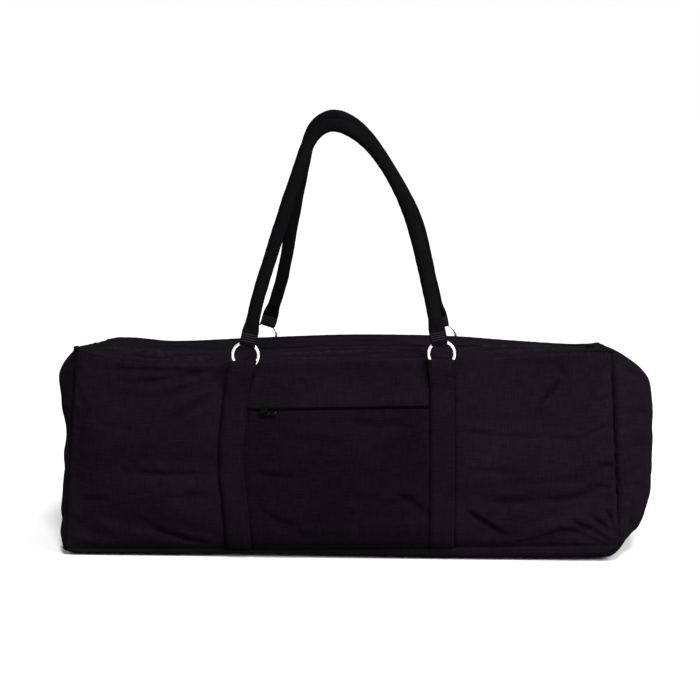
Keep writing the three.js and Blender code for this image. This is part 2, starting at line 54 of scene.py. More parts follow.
# Shader maths: a wire is one node output, and operators on wires add Math nodes
class Wire:
    def __init__(self, tree, socket=None):
        self.tree, self.socket = tree, socket

    def node(self, kind, settings=None, sockets=None, output=0):
        made = self.tree.nodes.new("ShaderNode" + kind)
        for key, value in (settings or {}).items():
            setattr(made, key, value)
        for key, value in (sockets or {}).items():
            if isinstance(value, Wire):
                self.tree.links.new(value.socket, made.inputs[key])
            else:
                made.inputs[key].default_value = value
        return Wire(self.tree, made.outputs[output] if made.outputs else None)

    def maths(self, operation, *values):
        return self.node("Math", {"operation": operation}, dict(enumerate(values)))

    def __add__(self, other):
        return self.maths("ADD", self, other)

    def __radd__(self, other):
        return self.maths("ADD", other, self)

    def __sub__(self, other):
        return self.maths("SUBTRACT", self, other)

    def __rsub__(self, other):
        return self.maths("SUBTRACT", other, self)

    def __mul__(self, other):
        return self.maths("MULTIPLY", self, other)

    def __rmul__(self, other):
        return self.maths("MULTIPLY", other, self)

    def sine(self):
        return self.maths("SINE", self)

    def clip(self, low, high):
        settings = {"interpolation_type": "SMOOTHSTEP"}
        return self.node("MapRange", settings, {"Value": self, "From Min": low, "From Max": high})

    def blend(self, first, second):  # two colours, mixed by this value
        return self.node("Mix", {"data_type": "RGBA"}, {0: self, 6: first, 7: second}, 2)

    def spread(self, scale):  # a vector stretched by three numbers
        return self.node("VectorMath", {"operation": "MULTIPLY"}, {0: self, 1: scale})

    def noise(self, scale, detail=3.0):
        return self.node("TexNoise", {}, {"Vector": self, "Scale": scale, "Detail": detail, "Roughness": 0.55})

    def place(self):
        return self.node("TexCoord", {}, {}, "Object")

    def weave(self):  # the cloth's own plane, and the two ways of its threads
        plane = self.node("UVMap", {"uv_map": "weave"})
        return plane, *(self.node("SeparateXYZ", {}, {0: plane}, axis) for axis in "XY")

    # the mark each point carries: above nothing it is wear and painted highlight, below nothing it is painted shade
    def wearAndPaintedLight(self):
        return self.node("Attribute", {"attribute_name": "wearAndPaintedLight"}, {}, "Fac")


def newFinish(name):
    finish = bpy.data.materials.new(name)
    finish.use_nodes = True
    finish.node_tree.nodes.clear()
    return finish, Wire(finish.node_tree)


def shineFrom(wire, sockets, height=None, strength=0.0, distance=0.0):
    if height is not None:
        sockets["Normal"] = wire.node("Bump", {}, {"Strength": strength, "Distance": distance, "Height": height})
    surface = wire.node("BsdfPrincipled", {}, sockets)
    wire.node("OutputMaterial", {}, {"Surface": surface})


def dyed(colour, tone, cast=1.0):  # darker or lighter, and with less of the purple cast
    middle = sum(colour[:3]) / 3
    return tuple(tone * (middle + cast * (v - middle)) for v in colour[:3]) + (1,)


# the worn colour is for wear and also paints highlights on fold ridges and along the long seams; the deep colour is
# painted shade in end seams, fold valleys and along the straps' edges and sewn lines
canvasLook = dict(
    dark=(0.0012, 0.0009, 0.0013, 1), light=(0.0043, 0.0032, 0.0047, 1), wornAndPaintedLight=(0.0105, 0.0088, 0.0112, 1),
    deep=(0.0004, 0.0003, 0.0004, 1), pitch=0.0011, slub=55, slubLength=14, fade=11, rubGrain=160,
    relief=0.00022, bump=0.75, sheen=0.004, sheenRough=0.45, sheenTint=(0.75, 0.7, 0.8, 1),
)


def canvasFinish(name, tone=1.0, cast=1.0):
    look = canvasLook
    finish, wire = newFinish(name)
    plane, across, along = wire.weave()
    turn = 2 * math.pi / look["pitch"]
    threads = (across * turn).sine() * (along * turn).sine()
    fine, coarse = look["slubLength"] * look["slub"], look["slub"]
    warp = plane.spread((coarse, fine, 1)).noise(1.0, 2.0)
    weft = plane.spread((fine, coarse, 1)).noise(1.0, 2.0)
    slubs = warp * 0.5 + weft * 0.5
    place, wornAndPaintedLight = wire.place(), wire.wearAndPaintedLight()
    cloud = place.noise(look["fade"], 4.0)
    # lighter patches where the mark is above nothing: wear, and painted highlight on fold ridges and along the long
    # seams
    rubAndPaintedLight = (wornAndPaintedLight * place.noise(look["rubGrain"])).clip(0.22, 0.75)
    tint = (slubs * 0.75 + cloud * 0.25 + threads * 0.10).clip(0.22, 0.82)
    dark, light = (dyed(look[key], tone, cast) for key in ("dark", "light"))
    deep = (0.0 - wornAndPaintedLight).clip(0.1, 1.0)  # painted shade where the mark runs below nothing: end seams, fold valleys and along the straps
    shineFrom(wire, {
        "Base Color": (deep * 0.8).blend((rubAndPaintedLight * 0.6).blend(tint.blend(dark, light), look["wornAndPaintedLight"]), look["deep"]),
        "Roughness": 0.93 - 0.14 * slubs - 0.08 * rubAndPaintedLight, "Sheen Weight": look["sheen"],
        "Sheen Roughness": look["sheenRough"], "Sheen Tint": look["sheenTint"], "Specular IOR Level": 0.0,
    }, threads * 0.5 + slubs * 1.6, look["bump"], look["relief"])
    return finish


threadLook = dict(dark=(0.0010, 0.0008, 0.0011), light=(0.0032, 0.0026, 0.0035), grain=900, ply=0.0007)


def threadFinish(name, tone=1.0):
    finish, wire = newFinish(name)
    place = wire.place()
    plies = place.noise(1 / threadLook["ply"], 1.0)
    dark, light = (dyed(threadLook[key], tone) for key in ("dark", "light"))
    colour = place.noise(threadLook["grain"], 2.0).blend(dark, light)
    sockets = {"Base Color": colour, "Roughness": 0.55 + 0.2 * plies, "Specular IOR Level": 0.005}
    shineFrom(wire, sockets, plies, 0.6, 0.0001)
    return finish


zipLook = dict(
    tape=(0.0009, 0.0007, 0.0010, 1), tapeLight=(0.0028, 0.0023, 0.0031, 1), rib=0.0009, fleck=700,
    coil=(0.0004, 0.0004, 0.0005, 1), coilLight=(0.0012, 0.0011, 0.0013, 1), scuff=420,
)


def tapeFinish(name):
    finish, wire = newFinish(name)
    plane, across, along = wire.weave()
    ribs = ((across + along) * (2 * math.pi / zipLook["rib"])).sine()
    fleck = plane.noise(zipLook["fleck"], 2.0)
    colour = (ribs * 0.25 + fleck).clip(0.2, 0.9).blend(zipLook["tape"], zipLook["tapeLight"])
    sockets = {"Base Color": colour, "Roughness": 0.72 + 0.15 * fleck, "Specular IOR Level": 0.0}
    shineFrom(wire, sockets, ribs, 0.7, 0.00015)
    return finish


def coilFinish(name):
    finish, wire = newFinish(name)
    scuff = wire.place().noise(zipLook["scuff"])
    colour = scuff.clip(0.35, 0.75).blend(zipLook["coil"], zipLook["coilLight"])
    sockets = {"Base Color": colour, "Roughness": 0.30 + 0.22 * scuff, "Specular IOR Level": 0.004}
    shineFrom(wire, sockets, scuff, 0.25, 0.0001)
    return finish


nickelLook = dict(bright=(0.80, 0.79, 0.77, 1), dull=(0.56, 0.54, 0.51, 1), scratch=900, cloud=70)


def nickelFinish(name):
    finish, wire = newFinish(name)
    place = wire.place()
    scratch = place.spread((1, 0.15, 1)).noise(nickelLook["scratch"], 2.0)
    marks = (scratch * 0.6 + place.noise(nickelLook["cloud"], 4.0) * 0.5).clip(0.42, 0.85)
    colour = marks.blend(nickelLook["bright"], nickelLook["dull"])
    shineFrom(wire, {"Base Color": colour, "Metallic": 1.0, "Roughness": 0.14 + 0.20 * marks}, scratch, 0.12, 0.00008)
    return finish


enamelLook = dict(
    paint=(0.0008, 0.0007, 0.0008, 1), paintLight=(0.002, 0.0019, 0.0021, 1), bare=(0.12, 0.12, 0.125, 1),
    chip=600, cloud=250,
)


def enamelFinish(name):
    look = enamelLook
    finish, wire = newFinish(name)
    place = wire.place()
    chips = (wire.wearAndPaintedLight() * place.noise(look["chip"])).clip(0.53, 0.62)
    cloud = place.noise(look["cloud"])
    shineFrom(wire, {
        "Base Color": chips.blend(cloud.blend(look["paint"], look["paintLight"]), look["bare"]),
        "Metallic": 0.9 * chips, "Roughness": 0.40 + 0.18 * cloud, "Specular IOR Level": 0.0,
    }, cloud, 0.15, 0.0001)
    return finish


canvas = canvasFinish("black canvas")
canvasWeb = canvasFinish("black canvas, straps", 0.90)
canvasGrip = canvasFinish("black canvas, handles", 0.62, 0.3)
canvasPocket = canvasFinish("black canvas, pocket", 0.74)
canvasFacing = canvasFinish("black canvas, facing", 0.90)
thread = threadFinish("black thread")
# the tab bands' stitches are nine times lighter: a painted highlight standing in for the shine of their thread
threadPaintedHighlight = threadFinish("thread with painted highlight", 9.0)
tape = tapeFinish("zip tape")
coil = coilFinish("zip coil")
nickel = nickelFinish("nickel plate")
enamel = enamelFinish("black enamel")
print("finishes made")


# Mesh helpers: positions are millimetres in the frame until a piece is made
def gridFaces(nu, nv, flip=False, closed=(False, False)):
    u, v = np.arange(nu - 1 + closed[0])[:, None], np.arange(nv - 1 + closed[1])[None, :]
    uNext, vNext = (u + 1) % nu, (v + 1) % nv
    quads = np.stack([u * nv + v, uNext * nv + v, uNext * nv + vNext, u * nv + vNext], -1).reshape(-1, 4)
    return (quads[:, ::-1] if flip else quads).tolist()


def tubeFaces(n, m):  # n rings of m points, with a cap on each end
    return gridFaces(n, m, True, (False, True)) + [list(range(m))[::-1], [(n - 1) * m + j for j in range(m)]]


def joinShapes(*shapes):
    points, faces, start = [], [], 0
    for spots, loops in shapes:
        points.append(spots)
        faces += [[i + start for i in loop] for loop in loops]
        start += len(spots)
    return np.concatenate(points), faces


def makePiece(name, points, faces, finish, uv=None, wearAndPaintedLight=None, body="bag", node=None):
    points = np.asarray(points, float).reshape(-1, 3)
    mesh = bpy.data.meshes.new(name)
    mesh.from_pydata((points * mm).tolist(), [], faces)
    mesh.validate()
    if uv is not None:
        corner = np.zeros(len(mesh.loops), int)
        mesh.loops.foreach_get("vertex_index", corner)
        layer = mesh.uv_layers.new(name="weave")
        layer.data.foreach_set("uv", (np.asarray(uv, float).reshape(-1, 2) * mm)[corner].ravel())
    # each point's mark: wear and painted highlight above nothing, painted shade below nothing
    rubAndPaintedLight = np.zeros(len(points)) if wearAndPaintedLight is None else np.broadcast_to(np.ravel(wearAndPaintedLight), len(points))
    mesh.attributes.new("wearAndPaintedLight", "FLOAT", "POINT").data.foreach_set("value", np.array(rubAndPaintedLight, float))
    mesh.materials.append(finish)
    mesh.shade_smooth()
    piece = bpy.data.objects.new(name, mesh)
    scene.collection.objects.link(piece)
    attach(piece, body)
    if node:
        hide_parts(node)
    return piece


def addWall(piece, thick, offset=-1):
    wall = piece.modifiers.new("cloth", "SOLIDIFY")
    wall.thickness, wall.offset = thick * mm, offset
    return piece


def unit(v):
    return v / np.maximum(np.linalg.norm(v, axis=-1, keepdims=True), 1e-9)


def bell(x, width):
    return np.exp(-((x / width) ** 2))


def dome(share, power):
    return 1 - np.abs(share) ** power


def smoothstep(x, low, high):
    t = np.clip((x - low) / (high - low), 0, 1)
    return t * t * (3 - 2 * t)


def circle(count):
    return np.linspace(0, 2 * math.pi, count, endpoint=False)


def runAlong(points):
    return np.r_[0, np.cumsum(np.linalg.norm(np.diff(points, axis=0), axis=1))]


def readAt(x, xs, rows):  # the columns of a table, read straight between its rows
    return np.stack([np.interp(x, xs, rows[:, k]) for k in range(rows.shape[1])], 1)


def throughPoints(xs, ys, x):  # a smooth line through a short table
    xs, ys = np.asarray(xs, float), np.asarray(ys, float)
    slope = np.empty_like(ys)
    run = np.diff(xs) if ys.ndim == 1 else np.diff(xs)[:, None]
    rise = np.diff(ys, axis=0)
    slope[1:-1] = (rise[1:] + rise[:-1]) / (run[1:] + run[:-1])
    slope[0], slope[-1] = rise[0] / run[0], rise[-1] / run[-1]
    i = np.clip(np.searchsorted(xs, x) - 1, 0, len(xs) - 2)
    h = xs[i + 1] - xs[i]
    t = (x - xs[i]) / h
    if ys.ndim > 1:
        t, h = t[..., None], h[..., None]
    return ((1 + 2 * t) * (1 - t) ** 2 * ys[i] + t * (1 - t) ** 2 * h * slope[i]
            + t * t * (3 - 2 * t) * ys[i + 1] + t * t * (t - 1) * h * slope[i + 1])


def ripple(s, shortest, longest, count=7):  # a fixed uneven wave along a seam
    waves = np.zeros_like(s, float)
    for _ in range(count):
        length = shortest * (longest / shortest) ** rng.random()
        waves = waves + np.sin(2 * math.pi * (s / length + rng.random())) * (0.5 + rng.random())
    return waves / math.sqrt(count)


def beads(centres, ways, outs, length, radius, dip=0.5, around=6):  # small rounded sticks: stitches, zip coils
    ways, outs = unit(ways), unit(outs)
    beside = unit(np.cross(ways, outs))
    outs = np.cross(beside, ways)
    steps = np.array([-0.5, -0.34, 0, 0.34, 0.5]) * length
    fat = np.array([0.3, 0.85, 1, 0.85, 0.3])[:, None] * radius
    sink = np.array([-1, -0.3, 0, -0.3, -1])[:, None] * radius * dip
    angle = circle(around)
    spots = (centres[:, None, None] + ways[:, None, None] * steps[:, None, None]
             + beside[:, None, None] * (fat * np.cos(angle))[..., None]
             + outs[:, None, None] * (fat * np.sin(angle) + sink)[..., None])
    stick, size = tubeFaces(len(steps), around), len(steps) * around
    faces = [[i + start for i in face] for start in range(0, size * len(centres), size) for face in stick]
    return spots.reshape(-1, 3), faces


def alongLine(points, pitch, margin=0.0):  # evenly spaced places on a line, with its directions
    run = runAlong(points)
    s = np.linspace(margin, run[-1] - margin, max(2, int((run[-1] - 2 * margin) / pitch)))
    return s / run[-1], readAt(s, run, points), readAt(s + 0.5, run, points) - readAt(s - 0.5, run, points)


stitching = dict(pitch=3.3, length=2.5, radius=0.32, margin=1.5)
stitchRows = {}


def stitch(group, points, outs, pitch=stitching["pitch"]):
    share, at, way = alongLine(points, pitch, stitching["margin"])
    outs = np.broadcast_to(np.asarray(outs, float), points.shape)
    stitchRows.setdefault(group, []).append((at, way, readAt(share, np.linspace(0, 1, len(outs)), outs)))


# The bag's shell: seams make a soft box, and each panel swells past its seams
shell = dict(
    length=655, depth=210, height=214, seamRise=(7, 20), taper=(19, 14), leftOut=7.0, endBow=14.0, baseRound=17,
    baseRoll=4.0, rollWidth=14, edgeFade=22, zipHalf=9, fullness=dict(front=22, back=20, top=4), step=4,
    seamLines=(0, 1.6, 4.0, 7.5), seamGap=0.3, seamDepth=2.4, topSeamDepth=0.9, endSeamDepth=6.0, seamWidth=3.2,
    baseSeamShare=0.4, seamHold=14, foldFade=6, rumple=0.45, rumpleSpace=360, strapGroove=1.8, grooveAt=1,
    grooveWidth=2.2, grooveTop=(0.88, 0.93), cloth=1.6, pucker=0.7, clear=0.2,
)
# how far each end swells past its seams, from the bottom to the top
endSwell = dict(
    up=(0, 0.06, 0.14, 0.25, 0.42, 0.60, 0.72, 0.84, 0.90, 0.95, 1),
    left=(0, 12, 16, 18, 18, 21, 27, 32, 29, 20, 0),
    right=(0, 13, 27, 42, 46, 50, 52, 49, 39, 24, 0), power=dict(left=3.0, right=3.8),
)
topLine = dict(
    along=(-1, -0.9, -0.7, -0.37, 0, 0.37, 0.62, 0.86, 1),
    front=(252, 243, 236, 235, 238, 242, 248, 253, 254),
    back=(229, 234, 230, 235, 240, 239, 234, 230, 231),
)
# where the front of the base lifts off the floor
baseLift = (-1, -0.6, -0.3, 0, 0.3, 0.6, 0.85, 0.94, 1), (0, 1, 3, 1.5, 0, 0.5, 2, 3.5, 6)
# creases: along and up where each starts and ends, width, rise
creases = dict(
    front=[
        (-0.47, 0.95, -0.78, 0.80, 15, -4.5), (-0.78, 0.46, -0.45, 0.47, 14, -3),
        (-0.68, 0.16, -0.50, 0.06, 14, -3), (0.78, 0.92, 0.65, 0.78, 15, -4), (0.46, 0.69, 0.95, 0.61, 16, -4),
        (0.44, 0.45, 0.95, 0.45, 30, 4), (0.44, 0.26, 0.97, 0.27, 14, -5), (0.46, 0.17, 0.60, 0.06, 12, -3),
        (0.90, 0.06, 0.97, 0.20, 12, -3), (-0.90, 0.62, -0.45, 0.62, 30, 4), (-0.85, 0.30, -0.45, 0.28, 26, 3),
    ],
    back=[(-0.85, 0.62, -0.45, 0.55, 18, -4), (0.45, 0.40, 0.85, 0.48, 18, -4)],
    left=[(-0.9, 0.56, 0.9, 0.56, 14, -2)],
    right=[(-0.9, 0.50, -0.3, 0.47, 14, -2)],
    top=[
        (-0.95, -0.60, -0.50, -0.70, 13, -4), (-0.94, 0.55, -0.84, 0.60, 26, 3),
        (0.50, -0.45, 0.92, -0.30, 13, -4),
    ],
)
# crisp folds: along and up where each starts and ends, width, depth, with a ridge on the left of the way
folds = dict(
    front=[
        (0.42, 0.627, 0.56, 0.598, 2.8, 2.8), (0.53, 0.602, 0.76, 0.571, 2.8, 2.8),
        (0.72, 0.576, 0.88, 0.555, 3, 2.4), (0.86, 0.565, 0.99, 0.627, 3, 2.6),
        (0.8, 0.868, 0.68, 0.719, 3.2, 4.2), (0.42, 0.232, 0.61, 0.058, 3, 3.2), (0.5, 0.265, 0.72, 0.253, 4, 1.8),
        (0.7, 0.253, 0.97, 0.275, 4, 2.4), (0.8, 0.174, 0.99, 0.01, 2.8, 2.8),
        (0.88, 0.183, 0.99, 0.029, 2.8, 2.6), (0.945, 0.212, 0.995, 0.029, 2.8, 2.4), (0.74, 0.125, 0.97, 0, 3, 2),
        (0.9, 0.318, 0.99, 0.289, 2.8, 2), (0.92, 0.425, 0.99, 0.405, 2.8, 1.8),
        (0.92, 0.733, 0.99, 0.772, 2.8, 2), (-0.43, 0.920, -0.74, 0.790, 4.2, 4.6),
        (-0.43, 0.854, -0.68, 0.675, 4, 4), (-0.43, 0.955, -0.86, 0.868, 4, 4),
        (-0.5, 0.96, -0.95, 0.926, 3.2, 2.6), (-0.8, 0.437, -0.43, 0.425, 3.5, 2.6),
        (-0.72, 0.15, -0.46, 0.019, 3.5, 3), (-0.6, 0.097, -0.44, 0.029, 3, 2),
        (-0.66, 0.299, -0.44, 0.318, 4, 1.6), (-0.92, 0.675, -0.7, 0.637, 4, 1.6),
        (-0.97, 0.241, -0.8, 0.289, 4, 1.6), (0.46, 0.425, 0.7, 0.41, 4, 1.4), (0.6, 0.347, 0.9, 0.381, 4, 1.4),
    ],
    back=[
        (-0.5, 0.9, -0.75, 0.8, 5, 2.0), (0.5, 0.12, 0.66, 0.05, 5, 2.0), (0.88, 0.18, 0.97, 0.05, 4, 1.8),
        (-0.85, 0.6, -0.45, 0.55, 5, 2.0), (0.45, 0.40, 0.85, 0.48, 5, 2.0),
    ],
    left=[
        (-0.7, 0.62, 0.5, 0.58, 6, 2.4), (-0.9, 0.2, -0.5, 0.05, 5, 1.8), (0.9, 0.9, 0.4, 0.8, 5, 1.8),
        (-0.8, 0.38, 0.3, 0.42, 6, 1.8),
    ],
    right=[
        (-0.95, 0.52, -0.4, 0.48, 5, 2.0), (-0.97, 0.68, -0.5, 0.66, 4, 1.8), (-0.95, 0.15, -0.5, 0.04, 5, 2.0),
        (-0.95, 0.94, -0.5, 0.80, 5, 2.0), (-0.95, 0.30, -0.5, 0.26, 5, 1.6),
    ],
    top=[
        (-1.02, -0.60, -0.34, -0.94, 4, 5), (-1.02, -0.50, -0.36, -0.72, 4.5, 5),
        (-1.0, -0.36, -0.62, -0.62, 4.5, 4.5), (-0.80, -0.60, -0.32, -0.34, 4.5, 5.5),
        (-0.98, -0.22, -0.36, -0.20, 4.5, 4), (-0.62, -0.86, -0.34, -0.72, 4, 4), (0.38, -0.62, 1.0, -0.40, 4, 5),
        (0.46, -0.88, 1.02, -0.72, 4, 4.5), (0.40, -0.30, 0.94, -0.22, 4.5, 4), (0.62, -0.70, 1.0, -0.58, 3.5, 3),
        (-0.36, -0.66, 0.34, -0.50, 5, 4.5), (-0.30, -0.28, 0.42, -0.36, 5, 3.5),
        (-0.34, -0.86, 0.16, -0.90, 4, 3.5), (0.0, -0.78, 0.36, -0.72, 4, 3), (-0.95, 0.30, -0.35, 0.42, 5, 3),
        (0.36, 0.36, 0.98, 0.30, 5, 3), (-0.40, 0.44, 0.34, 0.52, 6, 2.4), (-0.98, 0.62, -0.50, 0.74, 5, 2.4),
    ],
)
frontBox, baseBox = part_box("front_panel"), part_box("base_panel")
shift = np.array([
    frontBox[0].x / mm + shell["length"] / 2 - shell["seamGap"],
    baseBox[0].y / mm + shell["depth"] / 2 - shell["seamGap"], 0,
])
halfLength, halfDepth, fullHeight = shell["length"] / 2, shell["depth"] / 2, shell["height"]


def gridLine(half, marks=()):
    edge = [half - d for d in shell["seamLines"]]
    stops = sorted({-edge[-1], edge[-1], *marks})
    line = [-x for x in edge[:-1]]
    for low, high in zip(stops, stops[1:]):
        line += list(np.linspace(low, high, max(1, round((high - low) / shell["step"])), endpoint=False))
    return np.array(line + [edge[-1]] + edge[-2::-1])


def halved(values):  # a stop added between each two along the first axis
    fine = np.zeros((2 * len(values) - 1, *values.shape[1:]))
    fine[::2] = values
    fine[1::2] = (values[1:] + values[:-1]) / 2
    return fine


aLine = halved(gridLine(halfLength)) / halfLength
bLine = halved(gridLine(halfDepth, (-shell["zipHalf"], shell["zipHalf"]))) / halfDepth
cLine = halved(gridLine(fullHeight / 2)) / fullHeight + 0.5
index = -np.ones((len(aLine), len(bLine), len(cLine)), int)
index[[0, -1]] = index[:, [0, -1]] = index[:, :, [0, -1]] = 0
index[index == 0] = np.arange((index == 0).sum())
count = index.max() + 1
# each side: its points, which way its faces turn, and its lines and size along and up
upright, level = (aLine, cLine, halfLength, fullHeight), (aLine, bLine, halfLength, halfDepth)
ends = bLine, cLine, halfDepth, fullHeight
sides = dict(
    front=(index[:, 0, :], False, upright), back=(index[:, -1, :], True, upright), left=(index[0], True, ends),
    right=(index[-1], False, ends), base=(index[:, :, 0], True, level), top=(index[:, :, -1], False, level),
)
grids = {side: (*np.meshgrid(us, vs, indexing="ij"), uSize, vSize)
         for side, (_, _, (us, vs, uSize, vSize)) in sides.items()}


def seamGaps(side):  # how far each place is from the seams at its ends, and from the seams along it
    u, v, uSize, vSize = grids[side]
    return (1 - np.abs(u)) * uSize, (1 - np.abs(v) if side in ("top", "base") else 0.5 - np.abs(v - 0.5)) * vSize


def seamBox(a, b, c):
    a, b, c = np.broadcast_arrays(np.asarray(a, float), np.asarray(b, float), np.asarray(c, float))
    front = throughPoints(topLine["along"], topLine["front"], a)
    back = throughPoints(topLine["along"], topLine["back"], a)
    top = front + (back - front) * (b + 1) / 2
    foot = shell["seamRise"][0] + (shell["seamRise"][1] - shell["seamRise"][0]) * (a + 1) / 2
    lean = (np.where(a < 0, *shell["taper"]) * c - np.where(a < 0, shell["leftOut"], 0)) * a ** 3
    bow = shell["endBow"] * dome(b, 2.5) * np.clip(a, 0, 1) ** 12 * (1 - smoothstep(c, 0, 0.3))
    return np.stack([a * halfLength - lean + bow, b * halfDepth, foot + (top - foot) * c], -1) + shift


def eachFold(rows, along, up, alongSize, upSize):  # how far every place is along each fold, and to its left
    for a0, u0, a1, u1, width, height in rows:
        x, y = (along - a0) * alongSize, (up - u0) * upSize
        wayX, wayY = (a1 - a0) * alongSize, (u1 - u0) * upSize
        size = math.hypot(wayX, wayY)
        yield a0, (x * wayX + y * wayY) / size, (y * wayX - x * wayY) / size, size, width, height


def creaseRise(rows, *grid):
    total = 0
    for _, run, off, size, width, height in eachFold(rows, *grid):
        total = total + height * bell(np.hypot(off, run - np.clip(run, 0, size)), width)
    return total


foldForm = dict(ridgeAt=2.2, ridgeWidth=1.6, ridge=0.7, wave=0.3, waveLength=29, bow=0.9, fadeIn=0.3, fadeOut=0.4)


def foldRise(rows, *grid):  # the rise, and how far each place is on a ridge or in a valley
    total = marks = 0
    for start, run, off, size, width, height in eachFold(rows, *grid):
        t = run / size
        wave = foldForm["wave"] * np.sin(run / foldForm["waveLength"] + start * 40)
        off = off + width * (wave + foldForm["bow"] * (t - 0.5) ** 2)
        tails = smoothstep(t, 0, foldForm["fadeIn"]) * smoothstep(1 - t, 0, foldForm["fadeOut"]) * height
        ridge, valley = bell(off - foldForm["ridgeAt"] * width, foldForm["ridgeWidth"] * width), bell(off, width)
        total = total + tails * (foldForm["ridge"] * ridge - valley)
        marks = marks + tails / 3 * (ridge - valley)
    return total, marks


def rumples(along, up, alongSize, upSize):  # small random dents and ridges all over a panel
    x, y = along * alongSize, up * upSize
    spanX, spanY = x.max() - x.min(), y.max() - y.min()
    total = np.zeros_like(x)
    for _ in range(int(x.size / shell["rumpleSpace"])):
        cx, cy = x.min() + spanX * rng.random(), y.min() + spanY * rng.random()
        turn = rng.normal(0, 0.5)
        u = (x - cx) * math.cos(turn) + (y - cy) * math.sin(turn)
        v = (y - cy) * math.cos(turn) - (x - cx) * math.sin(turn)
        height, long, wide = rng.normal(0, shell["rumple"]), rng.uniform(14, 40), rng.uniform(4, 9)
        total += height * bell(u, long) * bell(v, wide)
    return total


gather = dict(start=3.5, reach=17, short=(12, 34), long=(26, 70), longShare=0.6)


def puckers(s, distance, size):  # short gathers that run away from a seam
    grow = np.exp(-distance / gather["reach"]) * (1 - np.exp(-distance / gather["start"]))
    return size * grow * (ripple(s, *gather["short"]) + gather["longShare"] * ripple(s, *gather["long"]))


def wrinkles(side, edges):  # soft creases clear of the seams, and gathers along them
    still = np.prod([smoothstep(gap, 0, shell["edgeFade"]) for gap in seamGaps(side)], 0)
    gathers = sum(puckers(s, distance, share * shell["pucker"]) for s, distance, share in edges)
    return still * creaseRise(creases[side], *grids[side]) + gathers


def facePoints(side, b):
    a, c = grids[side][:2]
    x, z = a * halfLength, c * fullHeight
    swell = shell["fullness"][side] * dome(a, 6) * dome(2 * c - 1, 2.4)
    points = seamBox(a, b, c)
    edges = (z, halfLength - x, 1.3), (z, halfLength + x, 1), (x, z, 0.5), (x, fullHeight - z, 0.2)
    points[..., 1] += b * (swell + wrinkles(side, edges))
    return points


def endPoints(side, a):
    b, c = grids[side][:2]
    y, z = b * halfDepth, c * fullHeight
    swell = throughPoints(endSwell["up"], endSwell[side], c) * dome(b, endSwell["power"][side])
    points = seamBox(a, b, c)
    edges = (z, halfDepth - y, 1), (z, halfDepth + y, 1.3), (y, z, 1), (y, fullHeight - z, 1)
    points[..., 0] += a * (swell + wrinkles(side, edges))
    return points


def topPoints():
    a, b = grids["top"][:2]
    x, y = a * halfLength, b * halfDepth
    swell = shell["fullness"]["top"] * dome(a, 6) * dome(b, 2)
    points = seamBox(a, b, 1)
    edges = (x, halfDepth + y, 0.3), (x, halfDepth - y, 0.1), (y, halfLength - np.abs(x), 1)
    points[..., 2] += swell + wrinkles("top", edges)
    return points


def basePoints():
    a, b = grids["base"][:2]
    points = seamBox(a, b, 0)
    toEnd, toSide = seamGaps("base")
    endDrop, sideDrop = (dome(1 - np.minimum(1, gap / shell["baseRound"]), 2) for gap in (toEnd, toSide))
    points[..., 2] *= 1 - endDrop * sideDrop
    points[..., 2] += throughPoints(*baseLift, a) * smoothstep(-b, -0.2, 0.9) * endDrop * sideDrop
    roll = np.sin(math.pi * np.clip(toSide / shell["rollWidth"], 0, 1))
    points[..., 1] += np.sign(b) * shell["baseRoll"] * roll * endDrop
    return points


design = np.zeros((count, 3))
design[sides["base"][0]] = basePoints()
design[sides["top"][0]] = topPoints()
for side, a in (("left", -1), ("right", 1)):
    design[sides[side][0]] = endPoints(side, a)
for side, b in (("front", -1), ("back", 1)):
    design[sides[side][0]] = facePoints(side, b)
toSeam = np.zeros(count)
shellFaces = []
for side, (ids, flip, _) in sides.items():
    toSeam[ids] = np.minimum(*seamGaps(side))
    shellFaces += ids.ravel()[gridFaces(*ids.shape, flip)].tolist()
print("shell drawn:", count, "points")

settling = dict(frames=16, gravity=0.15, cap=3.0, cloth={
    "quality": 5, "mass": 0.3, "tension_stiffness": 20, "compression_stiffness": 20, "shear_stiffness": 8,
    "bending_stiffness": 0.6, "vertex_group_mass": "sewn", "use_pressure": True, "uniform_pressure_force": 2.5,
    "shrink_min": -0.008,
})


def settleCloth(points, faces, sewn):
    mesh = bpy.data.meshes.new("settling")
    mesh.from_pydata((points * mm).tolist(), [], faces)
    bag = bpy.data.objects.new("settling", mesh)
    scene.collection.objects.link(bag)
    bag.vertex_groups.new(name="sewn").add(np.flatnonzero(sewn).tolist(), 1.0, "REPLACE")
    cloth = bag.modifiers.new("cloth", "CLOTH")
    cloth.point_cache.frame_end = settling["frames"]
    for key, value in settling["cloth"].items():
        setattr(cloth.settings, key, value)
    cloth.settings.effector_weights.gravity = settling["gravity"]
    cloth.collision_settings.use_collision = False
    for step in range(1, settling["frames"] + 1):
        scene.frame_set(step)
    held = bag.evaluated_get(bpy.context.evaluated_depsgraph_get())
    moved = np.zeros(len(points) * 3)
    held.data.vertices.foreach_get("co", moved)
    scene.frame_set(1)
    bpy.data.objects.remove(bag)
    bpy.data.meshes.remove(mesh)
    step = moved.reshape(-1, 3) / mm - points
    far = np.linalg.norm(step, axis=1, keepdims=True)
    return step * np.minimum(1, settling["cap"] / np.maximum(far, 1e-9))


def eased(values):  # the same filling-in, rounded by the stops on either side
    fine = halved(values)
    fine[3:-3:2] = (9 * (values[1:-2] + values[2:-1]) - values[:-3] - values[3:]) / 16
    return fine


